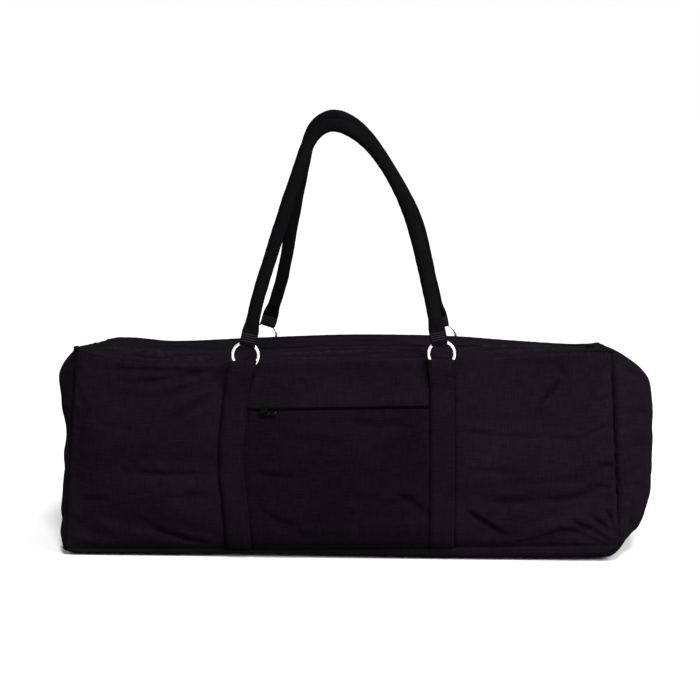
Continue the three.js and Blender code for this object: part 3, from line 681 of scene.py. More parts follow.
# the cloth settles on every second line of the shell, and the lines between follow
sewn = toSeam < 0.1
sewn[sides["base"][0]] = True
drift = np.zeros_like(design)
kept = np.unique(np.concatenate([ids[::2, ::2].ravel() for ids, _, _ in sides.values()]))
coarseFaces = []
for ids, flip, _ in sides.values():
    few = np.searchsorted(kept, ids[::2, ::2])
    coarseFaces += few.ravel()[gridFaces(*few.shape, flip)].tolist()
step = settleCloth(design[kept], coarseFaces, sewn[kept])
for ids, _, _ in sides.values():
    rows = eased(step[np.searchsorted(kept, ids[::2, ::2])])
    drift[ids] = eased(rows.swapaxes(0, 1)).swapaxes(0, 1)
drift *= smoothstep(toSeam, 0, shell["seamHold"])[:, None]
settled = design + drift
moved = np.linalg.norm(drift, axis=1)
print("cloth settled: moved", round(float(moved.mean()), 2), "mm, at most", round(float(moved.max()), 2))


def shellNormals(points):
    faces = np.asarray(shellFaces)
    across = np.cross(points[faces[:, 2]] - points[faces[:, 0]], points[faces[:, 3]] - points[faces[:, 1]])
    normals = np.zeros_like(points)
    for k in range(4):
        np.add.at(normals, faces[:, k], across)
    return unit(normals)


# how the straps run up the faces: the front ones sway to one side, most of all the left one
strapRun = dict(at=120, width=27.5, up=(0, 0.28, 0.42, 0.62, 0.83, 1), left=(-1.3, -5.0, -8.2, -7.6, -3.8, 0.5),
                right=(-3.0, -2.8, -2.6, -2.6, -3.0, -2.4))


def strapMiddle(side, hand, v):
    place = strapRun["at"] * (-1 if hand == "left" else 1) + 0 * np.asarray(v, float)
    return place if side == "back" else place + throughPoints(strapRun["up"], strapRun[hand], v)


def pastStrap(side, u, v):  # how far it is to the nearest strap's edge, less than nothing under the strap
    u, v = np.broadcast_arrays(np.asarray(u, float), np.asarray(v, float))
    gaps = [np.abs(u * halfLength - strapMiddle(side, hand, v)) for hand in ("left", "right")]
    return np.minimum(*gaps) - strapRun["width"] / 2


# seams, folds and the straps' furrows are pressed in, and each gets painted light: wear and painted highlight on
# ridges and along the long seams, painted shade in furrows and end seams
paintedLightAndWear = dict(top=(0.74, 0.55), others=(0.52, 0.40), longSeam=0.6, longSeamAt=3, longSeamWidth=2.5, endSeamWidth=2.6,
              strap=0.7, strapAt=1.4, strapWidth=1.6)
seamDepth = np.full(count, shell["topSeamDepth"])
toEndSeam, toLongSeam = np.full(count, 1e3), np.full(count, 1e3)
for side in ("front", "back", "left", "right"):
    ids, up = sides[side][0], grids[side][1]
    seamDepth[ids] = np.where(up > 0.5, shell["topSeamDepth"], shell["seamDepth"])
    toEndSeam[ids] = seamGaps(side)[0]
    if side in ("front", "back"):
        toLongSeam[ids] = (1 - up) * fullHeight
toLongSeam[sides["top"][0]] = seamGaps("top")[1]
seamDepth[sides["base"][0]] = shell["seamDepth"]
sink = seamDepth * bell(toSeam, shell["seamWidth"])
sink[sides["base"][0]] *= shell["baseSeamShare"]
rise = -np.maximum(sink, shell["endSeamDepth"] * bell(toEndSeam, shell["seamWidth"]))
# wear and painted highlight: a light line just off each long seam
wearAndPaintedLight = paintedLightAndWear["longSeam"] * bell(toLongSeam - paintedLightAndWear["longSeamAt"], paintedLightAndWear["longSeamWidth"])
# painted shade down the end seams' valleys
wearAndPaintedLight -= bell(toEndSeam, paintedLightAndWear["endSeamWidth"])
calm = smoothstep(toSeam, 0, shell["foldFade"])
for side in ("front", "back", "left", "right", "top"):
    ids = sides[side][0]
    total, marks = foldRise(folds[side], *grids[side])
    rise[ids] += calm[ids] * (total + rumples(*grids[side]))
    light, dark = paintedLightAndWear["top" if side == "top" else "others"]
    # fold ridges lighter as wear and painted highlight, fold valleys darker as painted shade
    wearAndPaintedLight[ids] += calm[ids] * np.where(marks > 0, light * np.minimum(marks, 1), dark * marks)
for side in ("front", "back"):
    ids, (u, v) = sides[side][0], grids[side][:2]
    past = pastStrap(side, u, v)
    groove = bell(past - shell["grooveAt"], shell["grooveWidth"]) * (1 - smoothstep(v, *shell["grooveTop"]))
    rise[ids] -= shell["strapGroove"] * groove
    # painted shade along the furrows beside the straps
    wearAndPaintedLight[ids] -= paintedLightAndWear["strap"] * bell(past - paintedLightAndWear["strapAt"], paintedLightAndWear["strapWidth"])
settled = settled + shellNormals(settled) * rise[:, None]
settled[:, 2] = np.maximum(settled[:, 2], shell["clear"])
normals = shellNormals(settled)

every, second = slice(None), slice(None, None, 2)
zipFront, zipBack = (int(np.argmin(np.abs(bLine * halfDepth + edge * shell["zipHalf"]))) for edge in (1, -1))
# each panel: its node, its side and the part of it, and its flat size
panelCuts = dict(
    frontPanel=("front_panel", "front", (every, every), (0.655, 0.240)),
    backPanel=("back_panel", "back", (every, every), (0.655, 0.240)),
    leftEndPanel=("left_end_panel", "left", (every, every), (0.230, 0.270)),
    rightEndPanel=("right_end_panel", "right", (every, every), (0.230, 0.280)),
    basePanel=("base_panel", "base", (second, second), (0.655, 0.215)),
    topFrontPanel=("top_front_panel", "top", (every, slice(0, zipFront + 1)), (0.625, 0.098)),
    topBackPanel=("top_back_panel", "top", (every, slice(zipBack, None)), (0.625, 0.098)),
)
panels = {}
for name, (node, side, part, flat) in panelCuts.items():
    u, v, uSize, vSize = grids[side]
    ids, uv = sides[side][0][part], np.stack([u * uSize, v * vSize], -1)[part]
    piece = makePiece(name, settled[ids], gridFaces(*ids.shape, sides[side][1]), canvas, uv, wearAndPaintedLight[ids], node=node)
    panels[name] = addWall(piece, shell["cloth"])
for name, (node, side, part, flat) in panelCuts.items():
    rest = [] if name == "basePanel" else [panels["basePanel"]]
print("panels made")


def onGrid(side, u, v):  # place and outward direction on a settled panel
    ids, _, (us, vs, _, _) = sides[side]
    u, v = np.broadcast_arrays(np.asarray(u, float), np.asarray(v, float))
    i = np.clip(np.searchsorted(us, u) - 1, 0, len(us) - 2)
    j = np.clip(np.searchsorted(vs, v) - 1, 0, len(vs) - 2)
    s = ((u - us[i]) / (us[i + 1] - us[i]))[..., None]
    t = ((v - vs[j]) / (vs[j + 1] - vs[j]))[..., None]

    def mixed(values):
        return ((1 - s) * (1 - t) * values[ids[i, j]] + s * (1 - t) * values[ids[i + 1, j]]
                + (1 - s) * t * values[ids[i, j + 1]] + s * t * values[ids[i + 1, j + 1]])
    return mixed(settled), unit(mixed(normals))


def lifted(side, u, v, lift):
    place, out = onGrid(side, u, v)
    return place + out * np.broadcast_to(np.asarray(lift, float), place.shape[:-1])[..., None]


# Rings, each with a slight weld
ringLook = dict(drop={("front", "left"): 3.6}, radius=15.0, wire=1.85, around=72, section=16, weldAt=1.2,
                weldWidth=0.07, weldRise=0.22)
turn, spin = circle(ringLook["around"])[:, None], circle(ringLook["section"])[None, :]
weld = bell(np.sin((turn - ringLook["weldAt"]) / 2), ringLook["weldWidth"])
wireSize = ringLook["wire"] + ringLook["weldRise"] * weld
reach = ringLook["radius"] + wireSize * np.cos(spin)
ringShape = np.stack([reach * np.cos(turn), wireSize * np.sin(spin), reach * np.sin(turn)], -1)
ringFaces = gridFaces(*ringShape.shape[:2], closed=(True, True))
rings = {}
for side in ("front", "back"):
    for hand in ("left", "right"):
        low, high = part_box(f"ring_{side}_{hand}")
        rings[side, hand] = np.array((low + high) / 2) / mm - (0, 0, ringLook["drop"].get((side, hand), 0))
        makePiece(f"ring{side.title()}{hand.title()}", ringShape + rings[side, hand], ringFaces, nickel,
                  node=f"ring_{side}_{hand}")
print("rings made")


# Straps: doubled canvas sewn up the front and back, folded round the rings
strap = dict(foot=0.004, leave=0.845, lift=1.5, thick=1.8, columns=13, rows=70, foldRows=46, edgeDrop=0.9,
             follow=0.72, spread=1.6, sewn=(1, -2), sewnShade=-0.45, crossAt=-26, crossHalf=5.5, barHalf=7)
# the fold round a ring: rise from the ring's middle, out from its plane
strapFold = [(-21, 5.0), (-14.6, 4.8), (-10, 4.1), (-7.4, 2.4), (-6.3, 0), (-7.4, -2.4), (-10, -3.9), (-14.6, -4.3),
             (-21, -4.0), (-26, -3.4)]


def onStrap(run, across, height):  # places on a strap's outer run, by share of its width and by height
    k = np.interp(height, run[:, strap["columns"] // 2, 2], np.arange(len(run)))
    low = k.astype(int)
    part = (k - low)[:, None, None]
    rows = (1 - part) * run[low] + part * run[np.minimum(low + 1, len(run) - 1)]
    places = np.linspace(-1, 1, strap["columns"])
    return np.concatenate([readAt([t], places, row) for t, row in zip(across, rows)])


for side, away in (("front", -1), ("back", 1)):
    for hand in ("left", "right"):
        share = np.linspace(-1, 1, strap["columns"])
        climb = np.linspace(strap["foot"], strap["leave"], strap["rows"])
        u = (strapMiddle(side, hand, climb)[:, None] + strapRun["width"] / 2 * share) / halfLength
        lift = strap["lift"] + strap["thick"] / 2 - strap["edgeDrop"] * np.abs(share) ** 8 + 0 * climb[:, None]
        low = lifted(side, u, climb[:, None] + 0 * u, lift)
        centre, last = rings[side, hand], low[-1, :, 0]
        fold = []
        for rise, out in strapFold:
            sway = strap["follow"] * (centre[0] - last.mean()) + strap["spread"] * share
            x = last + smoothstep(rise, -30, -14) * sway
            fold.append(np.stack([x, 0 * x + centre[1] + away * out, 0 * x + centre[2] + rise], 1))
        path = np.concatenate([low, fold])
        # finer rows through the fold
        run = runAlong(path[:, 0])
        leave = strap["rows"] - 1
        fine = np.concatenate([run[:leave], np.linspace(run[leave], run[-1], strap["foldRows"])])
        smooth = np.stack([throughPoints(run, path[:, k], fine) for k in range(path.shape[1])], 1)
        n, m = smooth.shape[:2]
        uv = np.stack(np.broadcast_arrays(share * strapRun["width"] / 2, fine[:, None]), -1)
        rubAndPaintedLight = np.zeros((n, m))
        # painted shade along the strap's two sewn lines
        rubAndPaintedLight[:, strap["sewn"]] = strap["sewnShade"]
        piece = makePiece(f"strap{side.title()}{hand.title()}", smooth, gridFaces(n, m, away < 0), canvasWeb, uv, rubAndPaintedLight,
                          node=f"strap_{side}_{hand}")
        addWall(piece, strap["thick"], 0)
        panels[side + "Panel"]
        outs = onGrid(side, u[:, 0], climb)[1]
        for edge in strap["sewn"]:
            stitch("strap", low[:, edge] + outs * (strap["thick"] / 2 + 0.1), outs)
        # cross stitches and two bars where the fold is sewn down
        front = smooth[:int(np.argmax(smooth[:, strap["columns"] // 2, 2])) + 1]
        sweep, out, crossAt = np.linspace(-1, 1, 16), np.array([0.0, away, 0]), centre[2] + strap["crossAt"]
        skin = out * (strap["thick"] / 2 + 0.12)
        for way in (-1, 1):
            stitch("strap", onStrap(front, 0.66 * sweep * way, crossAt + strap["crossHalf"] * sweep) + skin, out)
            stitch("strap", onStrap(front, 0.8 * sweep, crossAt + strap["barHalf"] * way + 0 * sweep) + skin, out)
print("straps made")


# The pocket: a slack panel, its zip, and the facing whose lip hides half the coil
pocket = dict(foot=0.006, top=0.754, reach=(-118, 109), middle=-4, half=107, lift=0.7, sag=3.0, thick=1.5, columns=92,
              rows=84, hem=0.8, sewn=(0.010, 0.034, 0.714), strapShade=0.6, least=0.3, rim=0.45, rimWidth=3.0)
facing = dict(foot=0.768, head=0.995, lift=1.6, rows=30, thick=1.5, lip=(0.795, 0.820), sewn=0.811, topShade=0.5,
              shadeUp=(0.84, 0.90), gap=0.5, rim=0.4, rimWidth=2.5)
pocketZip = dict(low=0.747, high=0.795, columns=60, rows=8, coilAt=0.763, tapeLift=1.4, coilLift=1.85, pitch=1.35,
                 tooth=3.0, radius=0.55, stagger=0.55, slant=0.25, plane=(0, 2))
pocketCreases = [(-0.30, 0.52, 0.30, 0.50, 16, 1.2), (-0.31, 0.24, -0.08, 0.08, 16, -1.6)]
pocketFolds = [
    (0.02, 0.690, 0.28, 0.660, 4, 1.6), (0.19, 0.340, 0.325, 0.185, 4, 2.4), (0.12, 0.230, 0.325, 0.325, 4, 2.0),
    (-0.32, 0.240, -0.10, 0.080, 5, 2.4), (-0.33, 0.435, -0.14, 0.395, 4, 1.8), (-0.20, 0.600, 0.05, 0.585, 5, 1.0),
    (0.00, 0.300, 0.20, 0.290, 5, 1.0), (-0.28, 0.145, -0.02, 0.165, 5, 1.0),
]


def underStrap(u, v):  # falls to nothing where the straps lie on top
    return smoothstep(pastStrap("front", u, v), 2, 9)


# where the painted shade beside the straps falls
def besideStrap(u, v):
    return bell(pastStrap("front", u, v) - 1, 1.9)


def betweenStraps(v, many):  # a row of places across the pocket, from strap to strap
    left, right = strapMiddle("front", "left", v), strapMiddle("front", "right", v)
    return np.linspace(left + strapRun["width"] / 2, right - strapRun["width"] / 2, many).ravel() / halfLength


def pocketGrid(columns, low, high, rows):
    reach = np.array(pocket["reach"]) / halfLength
    u, v = np.meshgrid(np.linspace(*reach, columns), np.linspace(low, high, rows), indexing="ij")
    return u, v, np.stack([u * halfLength, v * fullHeight], -1)


def pocketLift(u, v):
    across = np.clip((u * halfLength - pocket["middle"]) / pocket["half"], -1, 1)
    sag = pocket["sag"] * dome(across, 4) * dome(2 * v / pocket["top"] - 1, 4)
    hem = pocket["hem"] * smoothstep(v, pocket["top"] - 0.055, pocket["top"] - 0.045) * underStrap(u, v)
    soft = creaseRise(pocketCreases, u, v, halfLength, fullHeight)
    crisp = foldRise(pocketFolds, u, v, halfLength, fullHeight)[0]
    return pocket["lift"] + sag + hem + (soft + crisp) * smoothstep(v, 0.02, 0.08) + pocket["thick"]


def makeZip(name, node, side, grid, line, row, look):  # a woven tape with a coil of teeth along it
    u, v, uv = grid
    at, out = onGrid(side, line, row)
    share, spots, way = alongLine(at + out * look["coilLift"], look["pitch"] / 2)
    out = readAt(share, np.linspace(0, 1, len(line)), out)
    cross = unit(np.cross(out, way))
    odd = np.where(np.arange(len(share)) % 2, 1, -1)[:, None]
    lean = cross + look["slant"] * odd * unit(way)
    teeth = beads(spots + cross * odd * look["stagger"], lean, out, look["tooth"], look["radius"], 0.7)
    ribbon = lifted(side, u, v, look["tapeLift"]).reshape(-1, 3), gridFaces(*u.shape)
    points, faces = joinShapes(ribbon, teeth)
    uv = np.concatenate([uv.reshape(-1, 2), teeth[0][:, look["plane"]]])
    piece = makePiece(name, points, faces, tape, uv, node=node)
    piece.data.materials.append(coil)
    for face in piece.data.polygons[len(ribbon[1]):]:
        face.material_index = 1


def sewPocket(v, lift):
    line = betweenStraps(v, 60)
    stitch("pocket", lifted("front", line, v, lift(line, v)), onGrid("front", line, v)[1])


u, v, uv = pocketGrid(pocket["columns"], pocket["foot"], pocket["top"], pocket["rows"])
shape = lifted("front", u, v, np.maximum(pocketLift(u, v), pocket["thick"] + pocket["least"]))
rubAndPaintedLight = pocket["rim"] * bell((pocket["top"] - v) * fullHeight, pocket["rimWidth"])
# painted shade on the pocket beside the straps
rubAndPaintedLight -= pocket["strapShade"] * besideStrap(u, v)
piece = makePiece("pocketPanel", shape, gridFaces(*u.shape), canvasPocket, uv, rubAndPaintedLight, node="pocket_panel")
addWall(piece, pocket["thick"])
for row in pocket["sewn"]:
    sewPocket(row, lambda u, v: pocketLift(u, v) + 0.1)

grid = pocketGrid(pocketZip["columns"], pocketZip["low"], pocketZip["high"], pocketZip["rows"])
line = betweenStraps(pocketZip["coilAt"], 200)
makeZip("pocketZip", "pocket_zip", "front", grid, line, pocketZip["coilAt"], pocketZip)

u, v, uv = pocketGrid(pocket["columns"], facing["foot"], facing["head"], facing["rows"])
lip = facing["lift"] * (1 - smoothstep(v, *facing["lip"])) * underStrap(u, v)
shape = lifted("front", u, v, facing["thick"] + facing["gap"] + lip)
# painted shade on the facing beside the straps, deepest towards its top
shade = pocket["strapShade"] + facing["topShade"] * smoothstep(v, *facing["shadeUp"])
rubAndPaintedLight = facing["rim"] * bell((v - facing["foot"]) * fullHeight, facing["rimWidth"]) - shade * besideStrap(u, v)
piece = makePiece("pocketFacing", shape, gridFaces(*u.shape), canvasFacing, uv, rubAndPaintedLight, node="pocket_facing")
addWall(piece, facing["thick"])
sewPocket(facing["sewn"], lambda u, v: facing["thick"] + 1.1)
print("pocket made")


# The pocket zip's slider and its swinging pull
joint = frame["joints"][0]
hinge = np.array(joint["pos_m"]) / mm
acrossZip = -np.array(joint["axis"])
alongZip = unit(np.array([1.0, 0, 0]) - acrossZip * acrossZip[0])
outZip = np.cross(alongZip, acrossZip)
slider = dict(axisHeight=5.7, stand=2.8, thick=1.8, half=4.6, width=3.7, corner=1.6, rim=0.45, waist=0.16,
              reachUp=1.9, archWire=0.42, archHalf=0.7, wearAndPaintedLight=0.75)
pull = dict(bar=0.6, thick=0.45, half=2.2, corner=1.0, rim=0.22, waist=0.22, hole=(0.6, 4.4, 1.1), tip=15.0, wearAndPaintedLight=0.8)


def onZip(points):  # x along the zip, y across it, z out, from the pull's turning bar
    return hinge + points @ np.array([alongZip, acrossZip, outZip])


def roundedPlate(outline, low, high, bevel, hole=None):  # a flat plate with softened rims
    n, levels, faces = len(outline), [], []
    way = unit(np.roll(outline, -1, 0) - np.roll(outline, 1, 0))
    inward = np.stack([-way[:, 1], way[:, 0]], 1)
    for z, d in ((low, 1), (low + bevel * 0.3, 0.3), (low + bevel, 0), (high - bevel, 0), (high - bevel * 0.3, 0.3),
                 (high, 1)):
        levels.append(np.c_[outline + inward * bevel * d, np.full(n, z)])
    points, top = np.concatenate(levels), (len(levels) - 1) * n
    walls = tubeFaces(len(levels), n)
    if hole is None:
        return points, walls
    start = len(points)  # the hole has as many points as the outline, in step with it
    points = np.concatenate([points, np.c_[hole, np.full(n, low)], np.c_[hole, np.full(n, high)]])
    for i in range(n):
        j = (i + 1) % n
        faces.append([i, start + i, start + j, j])
        faces.append([top + i, top + j, start + n + j, start + n + i])
        faces.append([start + i, start + n + i, start + n + j, start + j])
    return points, walls[:-2] + faces


def roundedBox(xLow, xHigh, yHalf, corner, arc=8):
    spots = []
    for cx, cy, begin in ((xHigh - corner, -yHalf + corner, -90), (xHigh - corner, yHalf - corner, 0),
                          (xLow + corner, yHalf - corner, 90), (xLow + corner, -yHalf + corner, 180)):
        t = np.radians(begin + np.linspace(0, 90, arc))
        spots.append(np.stack([cx + corner * np.cos(t), cy + corner * np.sin(t)], 1))
    return np.concatenate(spots)


floorZ = slider["stand"] - slider["axisHeight"]
outline = roundedBox(-slider["half"], slider["half"], slider["width"], slider["corner"], 6)
outline[:, 1] *= 1 - slider["waist"] * bell(outline[:, 0] + 1.2, 1.8)
outline[:, 1] *= np.where(outline[:, 1] > 0, slider["reachUp"], 1)  # the body reaches up over the coil
archPath = np.array([(-2.6, floorZ + 1.5), (-2.55, 0.2), (-2.2, 1.15), (-1.2, 1.5), (0, 1.55), (1.2, 1.5),
                     (2.2, 1.15), (2.55, 0.2), (2.6, floorZ + 1.5)])
archLine = throughPoints(np.arange(len(archPath)), archPath, np.linspace(0, len(archPath) - 1, 33))
archWay = unit(np.gradient(archLine, axis=0))
spin = circle(10)
thin = slider["archWire"] * np.cos(spin)
arch = np.stack([archLine[:, :1] - thin * archWay[:, 1:], slider["archHalf"] * np.sin(spin) + 0 * archLine[:, :1],
                 archLine[:, 1:] + thin * archWay[:, :1]], -1)
points, faces = joinShapes(roundedPlate(outline, floorZ, floorZ + slider["thick"], slider["rim"]),
                           (arch.reshape(-1, 3), tubeFaces(*arch.shape[:2])))
makePiece("pocketSlider", onZip(points), faces, enamel, None, slider["wearAndPaintedLight"],
          node="pocket_zip_slider")
outline = roundedBox(-pull["bar"], pull["tip"], pull["half"], pull["corner"])
outline[:, 1] *= 1 - pull["waist"] * bell(outline[:, 0] - 7.2, 2.6)
points, faces = roundedPlate(outline, -pull["thick"], pull["thick"], pull["rim"], roundedBox(*pull["hole"], 0.5))
makePiece("pocketPull", onZip(points), faces, enamel, None, pull["wearAndPaintedLight"], body="pocket_pull",
          node="pocket_zip_pull")
print("pocket slider and pull made")


# The top zip, laid a little under the top panels' folded edges
topZip = dict(reach=0.996, columns=130, half=9.5, rows=9, tapeLift=-1.0, coilLift=-0.5, coilReach=0.985, pitch=1.7,
              tooth=4.6, radius=0.75, stagger=0.9, slant=0.2, plane=(0, 1), sewn=2.2)
topSlider = dict(at=0.93, body=(-5, 6, 4.2, 1.8, 6), bodyRise=(0.4, 3.2, 0.6), tab=(-26, -2.5, 2.8, 1.3),
                 tabRise=(1.6, 2.9, 0.35), hole=(-24.5, -20.5, 1.2, 0.8), wearAndPaintedLight=0.7)
u, v = np.meshgrid(np.linspace(-1, 1, topZip["columns"]) * topZip["reach"],
                   np.linspace(-1, 1, topZip["rows"]) * topZip["half"] / halfDepth, indexing="ij")
line = np.linspace(-topZip["coilReach"], topZip["coilReach"], 500)
makeZip("topZip", "top_zip", "top", (u, v, np.stack([u * halfLength, v * halfDepth], -1)), line, 0.0, topZip)
line = np.linspace(-topZip["coilReach"], topZip["coilReach"], 160)
for edge in (-1, 1):
    b = edge * (shell["zipHalf"] + topZip["sewn"]) / halfDepth
    stitch("top", lifted("top", line, b, 0.1), onGrid("top", line, b)[1])
at, out = onGrid("top", topSlider["at"], 0.0)
before, after = (onGrid("top", topSlider["at"] + step, 0.0)[0] for step in (-0.01, 0.01))
way = unit(after - before)
points, faces = joinShapes(
    roundedPlate(roundedBox(*topSlider["body"]), *topSlider["bodyRise"]),
    roundedPlate(roundedBox(*topSlider["tab"]), *topSlider["tabRise"], roundedBox(*topSlider["hole"])))
points = at + points @ np.array([way, np.cross(out, way), out])
makePiece("topZipSlider", points, faces, enamel, None, topSlider["wearAndPaintedLight"], node="top_zip_slider")
print("top zip made")


# Handles: padded tubes, drawn out flat where they fold round the rings
handle = dict(width=7.9, thick=7.0, gauge=8, tabWidth=9.8, tabThick=2.3, tabLength=10, tabFlat=0.45, blend=16,
              tails=(3.2, 12, 31), around=28, step=2.2, rounds=300, lean=50, fineGather=0.09, broadGather=0.13,
              seam=0.9, seamTurn=4.6, seamWidth=0.16)
handleLine = dict(
    front=[(-99, 309), (-85, 355), (-71, 401), (-48, 470), (-37, 499), (-15, 512), (8, 504), (30, 488), (53, 458),
           (72, 422), (86, 381), (103, 311)],
    back=[(-88, 310), (-73, 386), (-57, 462), (-46, 502), (-24, 518), (2, 509), (23, 488), (51, 445), (81, 387),
          (99, 310)],
)
tab = dict(loop=3.4, thick=0.75, columns=9, half=0.98, bands=(1.6, 4.3, 7.0, 9.7), bandHalf=0.86, bandPitch=2.3,
           up=(0, 1.5, 6, 10.5), out=(4.25, 4.05, 3.88, 3.1), wearAndPaintedLight=0.5)
# the loop round a ring, from one flat end to the other: up the tab, out from its middle
turn = np.linspace(-0.62 * math.pi, 0.62 * math.pi, 22)
tabLine = np.array([(10.5, -2.2), (6, -3.0), *zip(-tab["loop"] * np.cos(turn), tab["loop"] * np.sin(turn)), (6, 3.0),
                    (10.5, 2.2)])


def tabLoop(wireAt, toward, beside, outward):  # a band of doubled canvas round a ring's wire
    width = np.linspace(-1, 1, tab["columns"])
    grad = unit(np.gradient(tabLine, axis=0))
    offset = np.stack([-grad[:, 1], grad[:, 0]], 1) * tab["thick"]
    skins = []
    for line in (tabLine - offset, tabLine + offset):
        skins.append(wireAt + toward * line[:, None, :1] + outward * line[:, None, 1:]
                     + beside * (width[:, None] * handle["tabWidth"] * tab["half"]))
    k, w = len(tabLine), tab["columns"]
    faces = gridFaces(k, w)
    faces += [[i + k * w for i in face[::-1]] for face in faces]
    rim = [i * w for i in range(k)] + [(k - 1) * w + j for j in range(1, w)]
    rim += [i * w + w - 1 for i in range(k - 2, -1, -1)] + list(range(w - 2, 0, -1))
    for at, after in zip(rim, rim[1:] + rim[:1]):
        faces.append([after, at, at + k * w, after + k * w])
    uv = np.stack(np.broadcast_arrays(width[None, :] * 9, np.arange(k)[:, None] * 1.0), -1).reshape(-1, 2)
    for band in tab["bands"]:
        depth = np.interp(band, tab["up"], tab["out"])
        for face in (-1, 1):
            half = beside * handle["tabWidth"] * tab["bandHalf"]
            row = [wireAt + toward * band + half * t + outward * face * depth for t in (-1, 0, 1)]
            stitch("tab", np.array(row), outward * face, tab["bandPitch"])
    return np.concatenate(skins).reshape(-1, 3), faces, np.concatenate([uv, uv])


for side, away in (("front", -1), ("back", 1)):
    rows = np.array(handleLine[side], float)
    ringLeft, ringRight = rings[side, "left"], rings[side, "right"]
    share = (rows[:, 1] - ringLeft[2]) / (rows[:, 1].max() - ringLeft[2])
    line = np.stack([rows[:, 0] + shift[0], ringLeft[1] - away * handle["lean"] * share, rows[:, 1]], 1)
    tails = []
    for ring, near in ((ringLeft, line[0]), (ringRight, line[-1])):
        wireAt = ring + unit((near - ring) * np.array([1, 0, 1])) * ringLook["radius"]
        tails.append([wireAt + unit(near - wireAt) * d for d in handle["tails"]])
    knots = np.array([*tails[0], *line, *tails[1][::-1]])
    run = runAlong(knots)
    dense = throughPoints(run, knots, np.linspace(0, run[-1], 600))
    for _ in range(handle["rounds"]):
        dense[1:-1] += 0.25 * (dense[2:] + dense[:-2] - 2 * dense[1:-1])
    arc = runAlong(dense)
    s = np.linspace(0, arc[-1], int(arc[-1] / handle["step"]))
    middle = readAt(s, arc, dense)
    way = unit(np.gradient(middle, axis=0))
    across = unit(np.cross(np.array([0.0, 1, 0]), way))
    through = np.cross(across, way)
    fromEnd = np.minimum(s, arc[-1] - s)
    full = smoothstep(fromEnd, handle["tabLength"], handle["tabLength"] + handle["blend"])[:, None]
    flatness = handle["tabFlat"] + (1 - handle["tabFlat"]) * full
    wide = handle["tabWidth"] + (handle["width"] - handle["tabWidth"]) * full
    deep = handle["tabThick"] + (handle["thick"] - handle["tabThick"]) * full
    spin = circle(handle["around"])
    cosine, sine = np.cos(spin), np.sin(spin)
    # gathers round the tube, and the long seam underneath
    gathers = handle["fineGather"] * ripple(s[:, None] + 3 * sine, 6, 26) * full
    gathers = gathers + handle["broadGather"] * ripple(s[:, None] + 5 * cosine, 30, 90)
    seam = -handle["seam"] * bell(spin - handle["seamTurn"], handle["seamWidth"]) * full
    bulge = 1 + (gathers + seam) / handle["gauge"]
    x = np.sign(cosine) * np.abs(cosine) ** flatness * wide * bulge
    y = np.sign(sine) * np.abs(sine) ** flatness * deep * bulge
    tube = middle[:, None] + across[:, None] * x[..., None] + through[:, None] * y[..., None]
    shapes = [(tube.reshape(-1, 3), tubeFaces(*x.shape))]
    uvs = [np.stack(np.broadcast_arrays(spin * handle["gauge"], s[:, None]), -1).reshape(-1, 2)]
    rubs = [0.6 * (0.5 * full + 0.6 * (1 - full) * np.abs(cosine) ** 6).ravel()]
    for ring, first, heading in ((ringLeft, 0, 1), (ringRight, -1, -1)):
        toward = way[first] * heading
        wireAt = ring + unit(toward * np.array([1, 0, 1])) * ringLook["radius"]
        points, faces, uv = tabLoop(wireAt, toward, across[first], through[first])
        shapes.append((points, faces))
        uvs.append(uv)
        rubs.append(np.full(len(points), tab["wearAndPaintedLight"]))
    points, faces = joinShapes(*shapes)
    piece = makePiece(f"handle{side.title()}", points, faces, canvasGrip, np.concatenate(uvs), np.concatenate(rubs),
                      node=f"handle_{side}")
    seamAt, keep = int(np.argmin(np.abs(spin - handle["seamTurn"]))), full[:, 0] > 0.6
    for beside in (-2, 2):
        column = tube[:, (seamAt + beside) % handle["around"]][keep]
        outs = unit(column - middle[keep])
        stitch("handle", column + outs * 0.08, outs)
print("handles made")


for group, rows in stitchRows.items():
    points, faces = joinShapes(*(beads(*row, stitching["length"], stitching["radius"]) for row in rows))
    makePiece(f"stitches{group.title()}", points, faces, threadPaintedHighlight if group == "tab" else thread)
print("stitches made:", sum(len(row[0]) for rows in stitchRows.values() for row in rows))


# Floor, light and camera
studio = dict(floor=(0.40, 0.40, 0.40, 1), floorLight=(0.42, 0.42, 0.42, 1), reach=12.0, world=1.0, sun=6.4,
              sunSize=14, sunTurn=14, sunHeight=54, side=76, sideAt=(1.2, -1.25, 0.95), sideTo=(0.15, 0, 0.12),
              sideSize=0.8)
lens = dict(azimuth=3.2, elevation=8.5, distance=2.505, across=-0.00825, up=0.2353, focalPixels=2062.5,
            imageWidth=700)


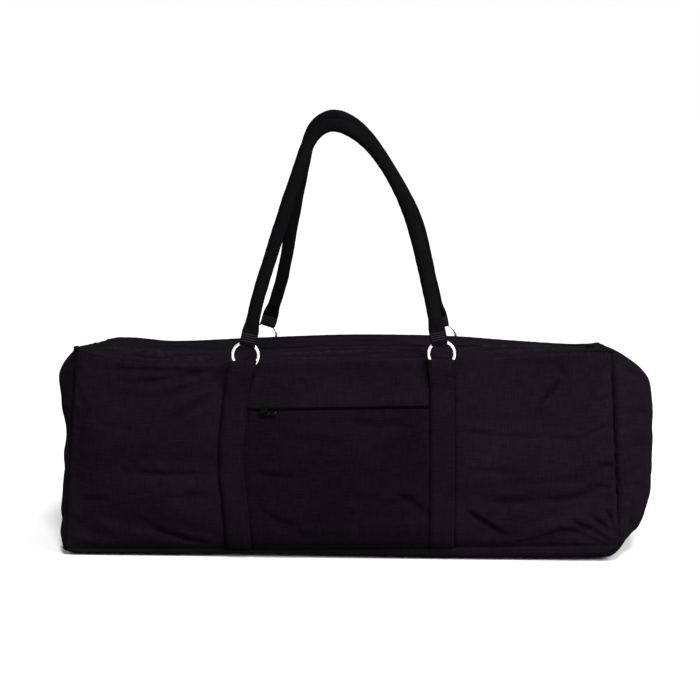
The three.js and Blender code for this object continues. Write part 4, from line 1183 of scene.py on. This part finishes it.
def facingFrom(turn, tilt):  # the way out from the object, by degrees round it and up
    turn, tilt = math.radians(turn), math.radians(tilt)
    return Vector((math.sin(turn) * math.cos(tilt), -math.cos(turn) * math.cos(tilt), math.sin(tilt)))


def setUp(name, data, way, place=(0, 0, 0)):
    thing = bpy.data.objects.new(name, data)
    thing.location = place
    thing.rotation_euler = way.to_track_quat("-Z", "Y").to_euler()
    scene.collection.objects.link(thing)
    return thing


floorMesh = bpy.data.meshes.new("floor")
corners = [(x * studio["reach"], y * studio["reach"], 0) for x, y in ((-1, -1), (1, -1), (1, 1), (-1, 1))]
floorMesh.from_pydata(corners, [], [(0, 1, 2, 3)])
floorFinish, wire = newFinish("pale floor")
grain = wire.place().noise(3.0)
shineFrom(wire, {"Base Color": grain.blend(studio["floor"], studio["floorLight"]), "Roughness": 0.85})
floorMesh.materials.append(floorFinish)
floor = bpy.data.objects.new("floor", floorMesh)
scene.collection.objects.link(floor)
world = bpy.data.worlds.new("studio")
world.use_nodes = True
sky = world.node_tree.nodes["Background"].inputs
sky["Color"].default_value = (1, 1, 1, 1)
sky["Strength"].default_value = studio["world"]
scene.world = world
sideLight = bpy.data.lights.new("side", "AREA")
sideLight.shape = "RECTANGLE"
sideLight.size = sideLight.size_y = studio["sideSize"]
sideLight.energy = studio["side"]
setUp("side", sideLight, Vector(studio["sideTo"]) - Vector(studio["sideAt"]), studio["sideAt"])
sun = bpy.data.lights.new("sun", "SUN")
sun.energy = studio["sun"]
sun.angle = math.radians(studio["sunSize"])
setUp("sun", sun, -facingFrom(studio["sunTurn"], studio["sunHeight"]))

back = facingFrom(lens["azimuth"], lens["elevation"])
turn = math.radians(lens["azimuth"])
aim = Vector((math.cos(turn), math.sin(turn), 0)) * lens["across"] + Vector((0, 0, lens["up"]))
view = bpy.data.cameras.new("camera")
view.sensor_width = 36
view.lens = 36 * lens["focalPixels"] / lens["imageWidth"]
scene.camera = setUp("camera", view, -back, aim + back * lens["distance"])
scene.view_settings.view_transform = "Standard"
print("stage set")
